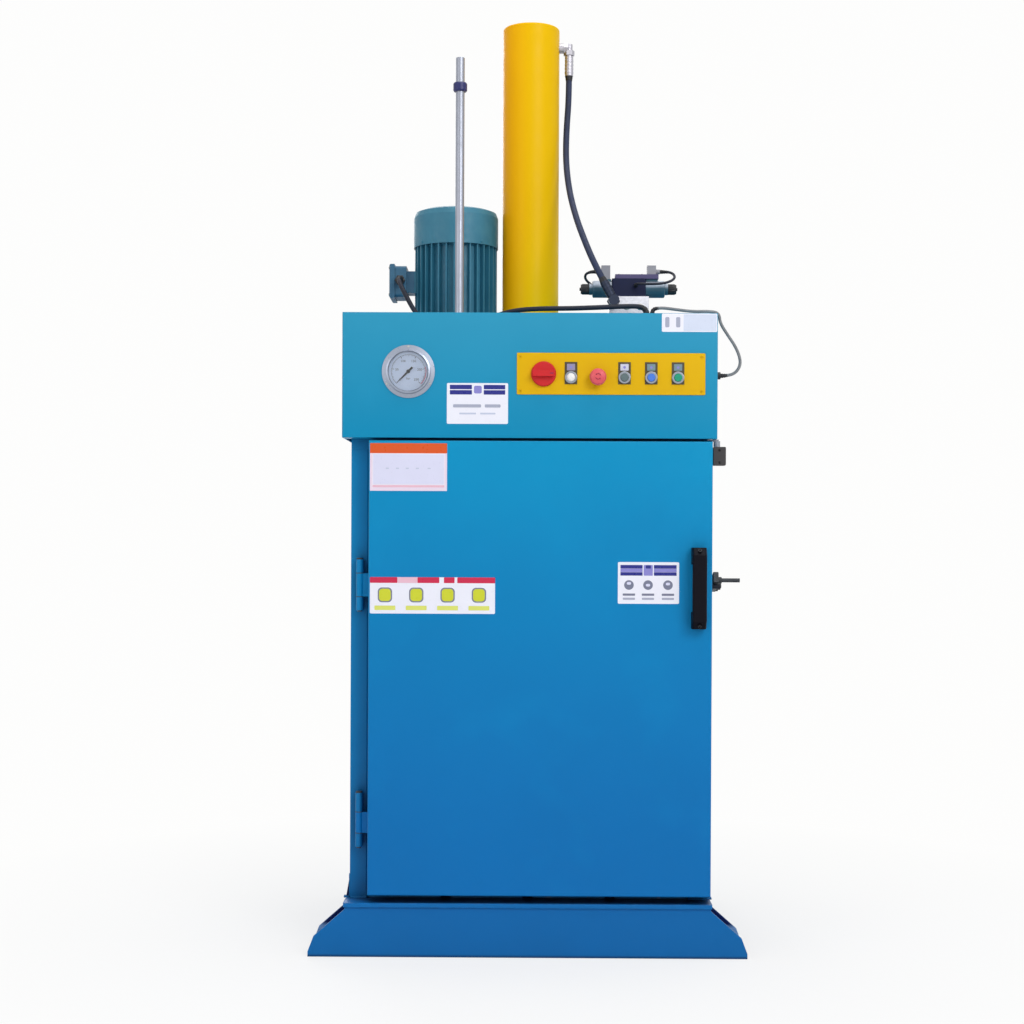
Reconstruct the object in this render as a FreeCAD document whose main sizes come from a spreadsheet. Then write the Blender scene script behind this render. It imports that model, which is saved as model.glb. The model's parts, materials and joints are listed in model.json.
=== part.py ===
"""Vertical recycling baler: a welded chamber on foot beams, a hinged door, a boxed head and a
hydraulic press on top.

Millimetres. X is right, Y is back, Z is up; the door faces -Y. The origin is on the floor,
under the middle of the frame. The sheet of sizes places and sizes every piece; the small
details of a piece are numbers in its own function.
"""

import FreeCAD
import Part
import Sketcher
import math
import os
from types import SimpleNamespace

# ---------------------------------------------------------------- driving dimensions

SIZES = {
    # base
    "beam_width": 1056,
    "beam_shoulder": 880,
    "beam_shoulder_height": 114,
    "beam_knee": 514,
    "beam_knee_height": 49,
    "beam_toe": 12,
    "rear_beam_width": 988,
    "rear_anchor_x": 474,
    "beam_height": 120,
    "beam_depth": 120,
    "beam_front": 372,
    "beam_sheet": 8,
    "anchor_x": 490,
    "anchor_hole": 18,
    "deck_width": 886,
    "deck_overhang": 6,
    "deck_plate": 10,
    "runner_width": 60,
    "runner_wall": 5,
    "runner_pitch": 380,
    "gusset_height": 60,
    "gusset_plate": 10,
    # chamber
    "frame_width": 866,
    "frame_depth": 620,
    "flange_width": 44,
    "sheet": 6,
    "bar_width": 176,
    "bar_gap": 24,
    "bar_height": 15,
    "back_bar": 14,
    "crosshead_bottom": 1222,
    "crosshead_plate": 25,
    "channel_width": 40,
    "channel_height": 100,
    "channel_wall": 8,
    "stiffener_depth": 40,
    "stiffener_height": 60,
    "stiffener_low": 350,
    "stiffener_pitch": 300,
    # door
    "door_left": 385,
    "door_right": 439,
    "door_bottom": 148,
    "door_top": 1240,
    "door_front": 375,
    "door_rear": 313,
    "door_sheet": 5,
    "hinge_x": 409,
    "hinge_y": 332,
    "hinge_radius": 9,
    "hinge_pin": 12,
    "fit": 0.05,
    "upper_hinge": 831,
    "lower_hinge": 259,
    "handle_x": 405.5,
    "handle_width": 34,
    "handle_reach": 44,
    "handle_low": 792,
    "handle_length": 194,
    "latch_y": 285,
    "latch_pin": 16,
    "latch_blade": 12,
    "latch_bar": 54,
    "latch_lift": 17,
    "latch_z": 893,
    "keeper_y": 345,
    "keeper_pin": 12,
    "keeper_length": 22,
    "door_bar": 10,
    "door_rib_low": 340,
    "door_rib_pitch": 220,
    # head
    "head_width": 900,
    "head_front": 372,
    "head_back": 312,
    "head_height": 300,
    "head_sheet": 3,
    "lid_plate": 6,
    "gauge_x": 291,
    "gauge_z": 1405,
    "gauge_flange": 127,
    "gauge_case": 100,
    "needle_zero": 135,
    "panel_left": 31,
    "panel_right": 420,
    "panel_low": 1351,
    "panel_high": 1451,
    "control_pitch": 64,
    "switch_x": 33,
    "switch_z": 1400,
    "control_x": 98.5,
    "control_z": 1392,
    "bezel": 29.5,
    "bezel_bore": 22,
    "bezel_neck": 34,
    "cap_gap": 0.3,
    # cylinder and ram
    "tube_outer": 146,
    "tube_bore": 125,
    "tube_top": 2332,
    "tube_flange": 208,
    "tube_flange_plate": 25,
    "rod": 80,
    "piston_top": 2292,
    "piston_height": 60,
    "platen_bottom": 1072,
    "platen_plate": 25,
    "platen_width": 760,
    "platen_depth": 580,
    "gauge_rod_x": 178,
    "gauge_rod_y": 170,
    "gauge_rod": 22,
    "gauge_rod_top": 2212,
    "collar_z": 2127,
    # motor, pump and tank
    "motor_x": 195,
    "motor_y": 20,
    "motor_radius": 107,
    "barrel_radius": 93,
    "motor_shoulder": 1768,
    "motor_top": 1860,
    "fan_cover_radius": 110,
    "fin_count": 32,
    "fin_thickness": 3.6,
    "shaft": 28,
    "terminal_low": 1634,
    "terminal_high": 1714,
    "tank_left": 430,
    "tank_right": 100,
    "tank_front": 120,
    "tank_back": 300,
    "tank_bottom": 1367,
    # valve
    "valve_x": 245,
    "valve_y": 190,
    "manifold_width": 98,
    "manifold_depth": 70,
    "manifold_top": 1608,
    "coil_z": 1630,
    # cords
    "hose": 16,
    "motor_lead": 12,
    "side_lead": 7.5,
    "coil_lead": 6.5,
}


class Size:
    """A number together with the sheet expression that it comes from."""

    def __init__(self, number, text):
        self.number = number
        self.text = text

    def __add__(self, other):
        other = as_size(other)
        return Size(self.number + other.number, f"({self.text} + {other.text})")

    def __sub__(self, other):
        other = as_size(other)
        return Size(self.number - other.number, f"({self.text} - {other.text})")

    def __mul__(self, other):
        other = as_size(other)
        return Size(self.number * other.number, f"({self.text} * {other.text})")

    def __truediv__(self, other):
        other = as_size(other)
        return Size(self.number / other.number, f"({self.text} / {other.text})")

    def __radd__(self, other):
        return as_size(other) + self

    def __rsub__(self, other):
        return as_size(other) - self

    def __rmul__(self, other):
        return as_size(other) * self

    def __neg__(self):
        return self * -1


def as_size(value):
    """A plain number becomes a size that no cell drives."""
    if isinstance(value, Size):
        return value
    return Size(float(value), f"({float(value)})")


def make_sheet(doc):
    sheet = doc.addObject("Spreadsheet::Sheet", "Sizes")
    for row, (alias, number) in enumerate(SIZES.items(), 1):
        sheet.set(f"A{row}", alias)
        sheet.set(f"B{row}", str(number))
        sheet.setAlias(f"B{row}", alias)
    doc.recompute()


doc = FreeCAD.newDocument("Baler")
make_sheet(doc)
dim = SimpleNamespace(**{alias: Size(number, f"Sizes.{alias}") for alias, number in SIZES.items()})
nodes = []

# levels and edges that several pieces share
half_frame = dim.frame_width / 2
half_depth = dim.frame_depth / 2
inner_half = half_frame - dim.flange_width
deck_top = dim.beam_height + dim.deck_plate
floor_top = deck_top + dim.bar_height
head_bottom = dim.crosshead_bottom + dim.crosshead_plate
head_top = head_bottom + dim.head_height
lid_bottom = head_top - dim.lid_plate
half_head = dim.head_width / 2
panel_face = dim.head_front + 2

# ---------------------------------------------------------------- helpers

# the way a sketch's own normal points: a pad grows along it and a pocket against it
NORMAL = {"XY": 1, "XZ": -1, "YZ": 1}


def bind(thing, path, size):
    thing.setExpression(path, as_size(size).text)


def new_body(name):
    """A body that is one node."""
    body = doc.addObject("PartDesign::Body", name)
    nodes.append(body)
    return body


def join_as(name, *pieces):
    """One node of several solids that touch: it takes the place of the pieces' own nodes."""
    group = doc.addObject("Part::Compound", name)
    group.Links = pieces
    nodes[:] = [node for node in nodes if node not in pieces]
    nodes.append(group)


AXES = {
    "X": FreeCAD.Vector(1, 0, 0),
    "Y": FreeCAD.Vector(0, 1, 0),
    "Z": FreeCAD.Vector(0, 0, 1),
}


def place(thing, x=0, y=0, z=0, axis="Z", angle=0):
    """Put a body at its place, turned about one axis."""
    turned = FreeCAD.Rotation(AXES[axis], as_size(angle).number or 1)
    thing.Placement = FreeCAD.Placement(FreeCAD.Vector(), turned)
    bind(thing, "Placement.Rotation.Angle", angle)
    for letter, size in zip("xyz", (x, y, z)):
        bind(thing, f"Placement.Base.{letter}", size)


def origin_part(body, role):
    return next(part for part in body.Origin.OriginFeatures if part.Role == role)


def box(u0, u1, v0, v1):
    """The corners of a rectangle."""
    return [(u0, v0), (u1, v0), (u1, v1), (u0, v1)]


def disc(u, v, radius):
    """A round outline."""
    return SimpleNamespace(u=u, v=v, radius=radius)


def hold(sketch, kind, geometry, point, size):
    """Tie one coordinate of a point to the sheet."""
    size = as_size(size)
    index = sketch.addConstraint(Sketcher.Constraint(kind, -1, 1, geometry, point, size.number))
    sketch.setExpression(f"Constraints[{index}]", size.text)


def add_polygon(sketch, corners):
    first = sketch.GeometryCount
    ends = [FreeCAD.Vector(as_size(u).number, as_size(v).number, 0) for u, v in corners]
    lines = [Part.LineSegment(a, b) for a, b in zip(ends, ends[1:] + ends[:1])]
    sketch.addGeometry(lines, False)
    count = len(corners)
    for step in range(count):
        following = first + (step + 1) % count
        sketch.addConstraint(Sketcher.Constraint("Coincident", first + step, 2, following, 1))
    for step, (u, v) in enumerate(corners):
        hold(sketch, "DistanceX", first + step, 1, u)
        hold(sketch, "DistanceY", first + step, 1, v)


def add_disc(sketch, ring):
    index = sketch.GeometryCount
    radius = as_size(ring.radius)
    centre = FreeCAD.Vector(as_size(ring.u).number, as_size(ring.v).number, 0)
    sketch.addGeometry(Part.Circle(centre, FreeCAD.Vector(0, 0, 1), radius.number), False)
    hold(sketch, "DistanceX", index, 3, ring.u)
    hold(sketch, "DistanceY", index, 3, ring.v)
    constraint = sketch.addConstraint(Sketcher.Constraint("Radius", index, radius.number))
    sketch.setExpression(f"Constraints[{constraint}]", radius.text)


def add_sketch(body, plane, level, loops):
    """A sketch on one of the body's own planes, at a level along that plane's axis."""
    sketch = body.newObject("Sketcher::SketchObject", f"{body.Name}_sketch")
    sketch.AttachmentSupport = (origin_part(body, f"{plane}_Plane"), [""])
    sketch.MapMode = "FlatFace"
    bind(sketch, "AttachmentOffset.Base.z", level * NORMAL[plane])
    for loop in loops:
        if isinstance(loop, SimpleNamespace):
            add_disc(sketch, loop)
        else:
            add_polygon(sketch, loop)
    return sketch


def pad(body, plane, start, end, *loops):
    """Add a prism between two levels along the plane's axis."""
    start, end = as_size(start), as_size(end)
    level = start if NORMAL[plane] > 0 else end
    feature = body.newObject("PartDesign::Pad", f"{body.Name}_pad")
    feature.Profile = (add_sketch(body, plane, level, loops), [""])
    bind(feature, "Length", end - start)
    return feature


def cut(body, plane, start, end, *loops):
    """Take a prism away between two levels, and make sure that it met material."""
    start, end = as_size(start), as_size(end)
    level = end if NORMAL[plane] > 0 else start
    doc.recompute()
    before = body.Shape.Volume
    feature = body.newObject("PartDesign::Pocket", f"{body.Name}_pocket")
    feature.Profile = (add_sketch(body, plane, level, loops), [""])
    bind(feature, "Length", end - start)
    doc.recompute()
    if body.Shape.Volume > before - 0.1:
        raise ValueError(f"{feature.Name} cuts nothing")
    return feature


def turn(body, plane, profile, axis="V_Axis"):
    """Revolve a profile about an axis of its sketch."""
    sketch = add_sketch(body, plane, as_size(0), [profile])
    feature = body.newObject("PartDesign::Revolution", f"{body.Name}_turn")
    feature.Profile = (sketch, [""])
    feature.ReferenceAxis = (sketch, [axis])
    feature.Angle = 360
    return feature


def spread(body, feature, direction, length, count):
    """Repeat a feature in a row."""
    pattern = body.newObject("PartDesign::LinearPattern", f"{body.Name}_row")
    pattern.Originals = [feature]
    pattern.Direction = (origin_part(body, f"{direction}_Axis"), [""])
    bind(pattern, "Length", length)
    pattern.Occurrences = count
    body.Tip = pattern
    return pattern


def ring_of(body, feature, count, axis="Z"):
    """Repeat a feature round an axis of the body."""
    pattern = body.newObject("PartDesign::PolarPattern", f"{body.Name}_ring")
    pattern.Originals = [feature]
    pattern.Axis = (origin_part(body, f"{axis}_Axis"), [""])
    pattern.Angle = 360
    pattern.Occurrences = count
    body.Tip = pattern
    return pattern


def mirror(body, features, plane):
    """Repeat features on the other side of a plane."""
    twin = body.newObject("PartDesign::Mirrored", f"{body.Name}_twin")
    twin.Originals = features
    twin.MirrorPlane = (origin_part(body, f"{plane}_Plane"), [""])
    body.Tip = twin
    return twin


def soften(body, radius, wanted, kind="Fillet"):
    """Round or bevel the edges that a test picks."""
    doc.recompute()
    tip = body.Tip
    names = [f"Edge{n}" for n, edge in enumerate(tip.Shape.Edges, 1) if wanted(edge)]
    if not names:
        raise ValueError(f"{body.Name}: no edge to soften")
    feature = body.newObject(f"PartDesign::{kind}", f"{body.Name}_{kind.lower()}")
    feature.Base = (tip, names)
    bind(feature, "Radius" if kind == "Fillet" else "Size", radius)
    return feature


def runs_along(axis):
    """A test for straight edges along an axis."""

    def test(edge):
        if edge.Curve.TypeId != "Part::GeomLine":
            return False
        return abs(edge.Curve.Direction.dot(AXES[axis])) > 0.999

    return test


def round_at(axis, level):
    """A test for round edges at one level of an axis."""
    number = as_size(level).number

    def test(edge):
        low = getattr(edge.BoundBox, f"{axis}Min")
        high = getattr(edge.BoundBox, f"{axis}Max")
        return edge.Curve.TypeId == "Part::GeomCircle" and abs(low - number) < 0.01 and high - low < 0.01

    return test


# ---------------------------------------------------------------- base


def make_foot_beam(name, front, half, anchor, ends):
    """Folded channel that lies open side up; ends are the corners of one end, from the floor up."""
    top = dim.beam_height
    shoulder = dim.beam_shoulder / 2
    right = [(half, 0), *ends, (shoulder, top)]
    left = [(-x, z) for x, z in reversed(right)]
    wall = dim.beam_sheet
    body = new_body(name)
    pad(body, "XZ", 0, dim.beam_depth, right + left)
    cut(body, "YZ", -half - 1, half + 1, box(wall, dim.beam_depth - wall, wall, top + 1))
    middle = dim.beam_depth / 2
    holes = [disc(side * anchor, middle, dim.anchor_hole / 2) for side in (-1, 1)]
    cut(body, "XY", -1, wall + 1, *holes)

    # a web inside the channel, under each chamber wall
    near = half_frame - 2 * wall
    web = pad(body, "YZ", near, near + wall, box(wall, dim.beam_depth - wall, wall, top))
    mirror(body, [web], "YZ")
    place(body, y=front)


def make_base():
    """Two foot beams with runners between them, and the deck that the chamber stands on."""
    inner = dim.beam_front - dim.beam_depth
    half = dim.beam_width / 2
    shoulder = dim.beam_shoulder / 2
    slant = [
        (half, dim.beam_toe),
        (dim.beam_knee, dim.beam_knee_height),
        (shoulder, dim.beam_shoulder_height),
    ]
    make_foot_beam("front_foot_beam", -dim.beam_front, half, dim.anchor_x, slant)

    # the rear one ends in flat lugs
    half = dim.rear_beam_width / 2
    lug = [(half, dim.beam_sheet), (shoulder, dim.beam_sheet)]
    make_foot_beam("rear_foot_beam", inner, half, dim.rear_anchor_x, lug)

    # three rectangular tubes between the beams
    body = new_body("base_runners")
    half = dim.runner_width / 2
    wall = dim.runner_wall
    first = -dim.runner_pitch
    tube = pad(body, "XZ", -inner, inner,
               box(first - half, first + half, 0, dim.beam_height),
               box(first - half + wall, first + half - wall, wall, dim.beam_height - wall))
    spread(body, tube, "X", 2 * dim.runner_pitch, 3)

    # the deck stands out a little in front of the beam, with a gusset at each chamber corner
    body = new_body("base_deck")
    half = dim.deck_width / 2
    pad(body, "XY", dim.beam_height, deck_top,
        box(-half, half, -dim.beam_front - dim.deck_overhang, dim.beam_front))
    soften(body, 4, runs_along("Z"))
    high = deck_top + dim.gusset_height
    right = [(half_frame, deck_top), (half, deck_top), (half_frame, high)]
    left = [(-half_frame, deck_top), (-half_frame, high), (-half, deck_top)]
    plate = dim.gusset_plate
    inset = 10
    for near in (half_depth - inset - plate, inset - half_depth):
        pad(body, "XZ", near, near + plate, right, left)


# ---------------------------------------------------------------- chamber


def make_wall(name, side):
    """Side wall folded as a channel that opens outward, its flanges front and back."""
    inner = inner_half * side
    web = (inner_half + dim.sheet) * side
    outer = half_frame * side
    depth = half_depth
    fold = half_depth - dim.sheet
    profile = [
        (inner, -depth),
        (outer, -depth),
        (outer, -fold),
        (web, -fold),
        (web, fold),
        (outer, fold),
        (outer, depth),
        (inner, depth),
    ]
    body = new_body(name)
    pad(body, "XY", deck_top, dim.crosshead_bottom, profile)

    def at_fold(edge):
        return runs_along("Z")(edge) and abs(edge.BoundBox.XMin - inner.number) < 0.01

    soften(body, dim.sheet, at_fold)

    # three ribs across the channel, a little short of the flanges' edges
    edge = outer - 3 * side
    rib = pad(body, "XY", dim.stiffener_low, dim.stiffener_low + dim.sheet, box(web, edge, -fold, fold))
    spread(body, rib, "Z", 2 * dim.stiffener_pitch, 3)
    return body


def make_chamber():
    """Side walls, back wall with its channels and bars, floor bars and crosshead."""
    make_wall("left_wall", -1)
    add_latch_pivot(make_wall("right_wall", 1))

    # plate with bars inside, a strap channel between each two, and folded channels outside
    body = new_body("back_wall")
    inside = half_depth - dim.sheet
    pad(body, "XZ", inside, half_depth, box(-inner_half, inner_half, deck_top, dim.crosshead_bottom))
    clear = 8
    pad(body, "XZ", inside - dim.back_bar, inside, *bar_loops(floor_top, dim.crosshead_bottom - clear))
    low = dim.stiffener_low
    high = low + dim.stiffener_height
    back = half_depth + dim.stiffener_depth
    channel = [
        (half_depth, low),
        (back, low),
        (back, high),
        (half_depth, high),
        (half_depth, high - dim.sheet),
        (back - dim.sheet, high - dim.sheet),
        (back - dim.sheet, low + dim.sheet),
        (half_depth, low + dim.sheet),
    ]
    row = pad(body, "YZ", -half_frame, half_frame, channel)
    spread(body, row, "Z", 2 * dim.stiffener_pitch, 3)

    body = new_body("floor_bars")
    pad(body, "XY", deck_top, floor_top, *bar_loops(clear - half_depth, inside))

    body = new_body("crosshead")
    pad(body, "XY", dim.crosshead_bottom, head_bottom,
        box(-half_frame, half_frame, -half_depth, half_depth),
        disc(0, 0, dim.rod / 2 + 2),
        disc(-dim.gauge_rod_x, -dim.gauge_rod_y, dim.gauge_rod / 2 + 3))

    # two channels on it carry the load of the cylinder
    near = dim.tube_flange / 2 + clear
    far = near + dim.channel_width
    top = head_bottom + dim.channel_height
    wall = dim.channel_wall
    channel = [
        (near, head_bottom),
        (far, head_bottom),
        (far, head_bottom + wall),
        (near + wall, head_bottom + wall),
        (near + wall, top - wall),
        (far, top - wall),
        (far, top),
        (near, top),
    ]
    beam = pad(body, "YZ", -half_frame + 3, half_frame - 3, channel)
    mirror(body, [beam], "XZ")


def bar_loops(low, high):
    """Four bars side by side with a strap channel between each two."""
    pitch = dim.bar_width + dim.bar_gap
    loops = []
    for step in range(4):
        left = (step - 1.5) * pitch - dim.bar_width / 2
        loops.append(box(left, left + dim.bar_width, low, high))
    return loops


def add_latch_pivot(wall):
    """Block and shouldered pin on the right wall, for the latch hook."""
    y = -dim.latch_y
    z = dim.latch_z
    face = dim.door_right + 3
    half = 20
    shoulder = dim.latch_blade + 2.6
    end = face + shoulder + 4.4
    pad(wall, "YZ", inner_half + dim.sheet, face, box(dim.sheet - half_depth, y + half, z - half, z + half))
    pad(wall, "YZ", face, face + shoulder + 1, disc(y, z, dim.latch_pin / 2))
    pad(wall, "YZ", face + shoulder, end, disc(y, z, 13))


# ---------------------------------------------------------------- door


def make_knuckles(name, bore, spans, leaf):
    """Turned hinge knuckles on the hinge line, each with a leaf to its carrier."""
    body = new_body(name)
    x = -dim.hinge_x
    y = -dim.hinge_y
    for low, high in spans:
        pad(body, "XY", low, high, disc(x, y, dim.hinge_radius))
        pad(body, "XY", low, high, leaf)
    for low, high in spans:
        cut(body, "XY", low - 1, high + 1, disc(x, y, bore))


def make_hinges():
    """Two hinges: the door's knuckle turns on a pin between two knuckles of the frame."""
    gap = 0.4
    door_spans = []
    frame_spans = []
    pins = []
    for low, lengths in ((dim.upper_hinge, (33, 57, 33)), (dim.lower_hinge, (33, 51, 46))):
        first = low + lengths[0]
        second = first + lengths[1]
        third = second + lengths[2]
        frame_spans.append((low, first))
        door_spans.append((first + gap, second - gap))
        frame_spans.append((second, third))
        pins.append((low, third))
    x = -dim.hinge_x
    y = -dim.hinge_y
    frame_leaf = box(x - 5, x + 5, y + 4, -half_depth)
    door_leaf = box(x + 4, -dim.door_left, y - 5, y + 5)
    make_knuckles("frame_knuckles", dim.hinge_pin / 2, frame_spans, frame_leaf)
    make_knuckles("door_knuckles", dim.hinge_pin / 2 + dim.fit, door_spans, door_leaf)
    body = new_body("hinge_pins")
    for low, high in pins:
        pad(body, "XY", low - 3, high, disc(x, y, dim.hinge_pin / 2))
        pad(body, "XY", high, high + 4, disc(x, y, dim.hinge_radius - 1))


def make_door():
    """Pan-shaped door with an inner plate, its handle and its hinges."""
    left = -dim.door_left
    right = dim.door_right
    low = dim.door_bottom
    high = dim.door_top
    wall = dim.door_sheet
    face = -dim.door_front
    rear = -dim.door_rear

    body = pan = new_body("door_pan")
    pad(body, "XZ", face, rear, box(left, right, low, high))
    soften(body, 4, lambda edge: abs(edge.BoundBox.YMax - face.number) < 0.01)
    cut(body, "XZ", face + wall, rear + 1,
        box(left + wall, right - wall, low + wall, high - wall))

    # boss on the door's edge, and the pin that stands on it for the latch hook
    y = -dim.keeper_y
    boss = right + 3
    pad(body, "YZ", right, boss, disc(y, dim.latch_z, 10))
    pin = new_body("keeper_pin")
    pad(pin, "YZ", boss, right + dim.keeper_length, disc(y, dim.latch_z, dim.keeper_pin / 2))
    join_as("door_shell", pan, pin)

    # inner plate: ribs behind it, and bars that stand a little into the chamber
    body = new_body("door_liner")
    pad(body, "XZ", rear - wall, rear, box(left + wall, right - wall, low + wall, high - wall))
    pad(body, "XZ", rear, rear + dim.door_bar, *bar_loops(floor_top + 8, dim.crosshead_bottom - 10))
    first = dim.door_rib_low
    rib = pad(body, "XZ", face + wall, rear - wall, box(left + wall, right - wall, first, first + dim.sheet))
    spread(body, rib, "Z", 3 * dim.door_rib_pitch, 4)

    make_handle()
    make_hinges()


def make_handle():
    """Moulded bridge handle: two feet on the door and a grip that stands off it."""
    body = new_body("door_handle")
    x = dim.handle_x
    low = dim.handle_low
    high = low + dim.handle_length
    face = -dim.door_front
    reach = dim.handle_reach
    half = dim.handle_width / 2
    grip = 16
    side = [
        (face, low),
        (face, low + 40),
        (face - reach + grip, low + 34),
        (face - reach + grip, high - 34),
        (face, high - 40),
        (face, high),
        (face - reach + 14, high),
        (face - reach, high - 18),
        (face - reach, low + 18),
        (face - reach + 14, low),
    ]
    pad(body, "YZ", x - half, x + half, side)

    def on_front(edge):
        return edge.BoundBox.YMax < face.number - 20 and edge.BoundBox.XLength < 0.01

    soften(body, 5, on_front)


def make_latch():
    """Hook that drops over the door's keeper pin, lifted off it at rest."""
    body = new_body("latch_hook")
    reach = dim.keeper_y - dim.latch_y
    notch = dim.keeper_pin / 2 + 1
    blade = [
        (-reach - 16, -12),
        (-reach - notch, -12),
        (-reach - notch, notch),
        (-reach + notch, notch),
        (-reach + notch, -2),
        (-reach + notch + 5, -14),
        (-18, -14),
        (12, -12),
        (12, 12),
        (-18, 15),
        (-reach - 10, 15),
        (-reach - 16, 10),
    ]
    plate = dim.latch_blade
    pad(body, "YZ", 0, plate, blade)
    cut(body, "YZ", -1, plate + 1, disc(0, 0, dim.latch_pin / 2 + dim.fit))

    # round bar to lift it by, on a small boss
    along = 16 - reach
    above = 1.5
    pad(body, "YZ", plate, plate + 10, disc(along, above, 8))
    pad(body, "YZ", plate, plate + dim.latch_bar, disc(along, above, 5))
    place(body, dim.door_right + 5, -dim.latch_y, dim.latch_z, "X", -dim.latch_lift)


def make_interlock():
    """Door switch beside the door's upper corner, with the gland of its lead under the head."""
    body = new_body("interlock_switch")
    x = dim.door_right + 4
    low = 1184
    high = 1229
    front = -348
    middle = -326
    back = 10 - half_depth
    pad(body, "XZ", front, middle, box(x, x + 30, low, high))
    soften(body, 3, runs_along("Y"))
    pad(body, "XZ", middle, back, box(x, x + 26, low + 3, high - 4))
    pad(body, "XZ", -half_depth, back, box(half_frame, x, low + 3, high - 4))
    gland = -337
    pad(body, "XY", high, head_bottom - 4, disc(x + 9, gland, 8))
    pad(body, "XZ", gland - 6, gland + 6, box(x, x + 13, head_bottom - 5, head_bottom))


# ---------------------------------------------------------------- head


def make_head():
    """Boxed head over the chamber: folded cover, top plate, rear panel, oil tank and rod guide."""
    half = half_head
    front = -dim.head_front
    back = dim.head_back
    wall = dim.head_sheet

    # one folded sheet: front, both sides and a return under the front, open for gauge and panel
    body = new_body("head_cover")
    profile = [
        (-half, front),
        (half, front),
        (half, back),
        (half - wall, back),
        (half - wall, front + wall),
        (wall - half, front + wall),
        (wall - half, back),
        (-half, back),
    ]
    pad(body, "XY", head_bottom, head_top, profile)
    soften(body, 4, lambda edge: runs_along("Z")(edge) and abs(edge.BoundBox.YMin - front.number) < 0.01)
    pad(body, "XY", head_bottom, head_bottom + wall,
        box(wall - half, half - wall, front + wall, -half_depth))
    rim = 9
    cut(body, "XZ", front - 1, front + wall + 1,
        disc(-dim.gauge_x, dim.gauge_z, dim.gauge_case / 2 + 1),
        box(rim - dim.panel_left, dim.panel_right - rim, dim.panel_low + rim, dim.panel_high - rim))

    body = new_body("head_top_plate")
    pad(body, "XY", lid_bottom, head_top,
        box(wall - half, half - wall, front + wall, back - wall),
        disc(0, 0, dim.tube_outer / 2 + 2),
        disc(-dim.gauge_rod_x, -dim.gauge_rod_y, 18),
        disc(-dim.motor_x, dim.motor_y, dim.shaft / 2 + 4))

    body = new_body("head_rear_panel")
    pad(body, "XZ", back - wall, back, box(wall - half, half - wall, head_bottom, head_top))

    # open box that hangs under the top plate
    body = new_body("oil_tank")
    left = -dim.tank_left
    right = -dim.tank_right
    sheet = 4
    pad(body, "XY", dim.tank_bottom, lid_bottom, box(left, right, -dim.tank_front, dim.tank_back))
    soften(body, 12, runs_along("Z"))
    cut(body, "XY", dim.tank_bottom + sheet, lid_bottom + 1,
        box(left + sheet, right - sheet, sheet - dim.tank_front, dim.tank_back - sheet))

    # nylon bush that guides the indicator rod through the top plate
    body = new_body("rod_guide_bush")
    bore = dim.gauge_rod / 2 + 0.08
    turn(body, "XZ", [(bore, -14), (18, -14), (18, 0), (25, 0), (25, 6), (20, 10), (bore, 10)])
    place(body, -dim.gauge_rod_x, -dim.gauge_rod_y, head_top)


def make_gauge():
    """Panel gauge: case with a wide flange, dial, window and a needle that turns."""
    front = -dim.head_front
    case = dim.gauge_case / 2
    flange = dim.gauge_flange / 2
    place_at = (-dim.gauge_x, front, dim.gauge_z)

    body = new_body("gauge_case")
    turn(body, "XY", [
        (0, 44),
        (case, 44),
        (case, 0),
        (flange, 0),
        (flange, -2.5),
        (case + 4, -4),
        (case + 3, -11),
        (case - 1, -12),
        (case - 3, -9),
        (case - 3, -1),
        (0, -1),
    ])
    turn(body, "XY", [(0, 44), (11, 44), (11, 62), (0, 62)])
    place(body, *place_at)

    body = new_body("gauge_dial")
    turn(body, "XY", [(0.0, -2), (case - 3, -2), (case - 3, -1), (0.0, -1)])
    place(body, *place_at)

    body = new_body("gauge_glass")
    turn(body, "XY", [(0, -9.5), (case - 3, -9.5), (case - 3, -7.5), (0, -7.5)])
    place(body, *place_at)

    # at zero the needle points to the lower left
    body = new_body("gauge_needle")
    tip = 38
    tail = 14
    pad(body, "XZ", -4.4, -3.6, [(-tail, -2.6), (8, -2.2), (tip, -0.5), (tip, 0.5), (8, 2.2), (-tail, 2.6)])
    pad(body, "XZ", -5.4, -2.6, disc(0, 0, 4.5))
    place(body, *place_at, "Y", dim.needle_zero)


def control_places():
    """Centres of the five round controls: lamp, stop, black, blue, green."""
    return [dim.control_x + step * dim.control_pitch for step in range(5)]


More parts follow.
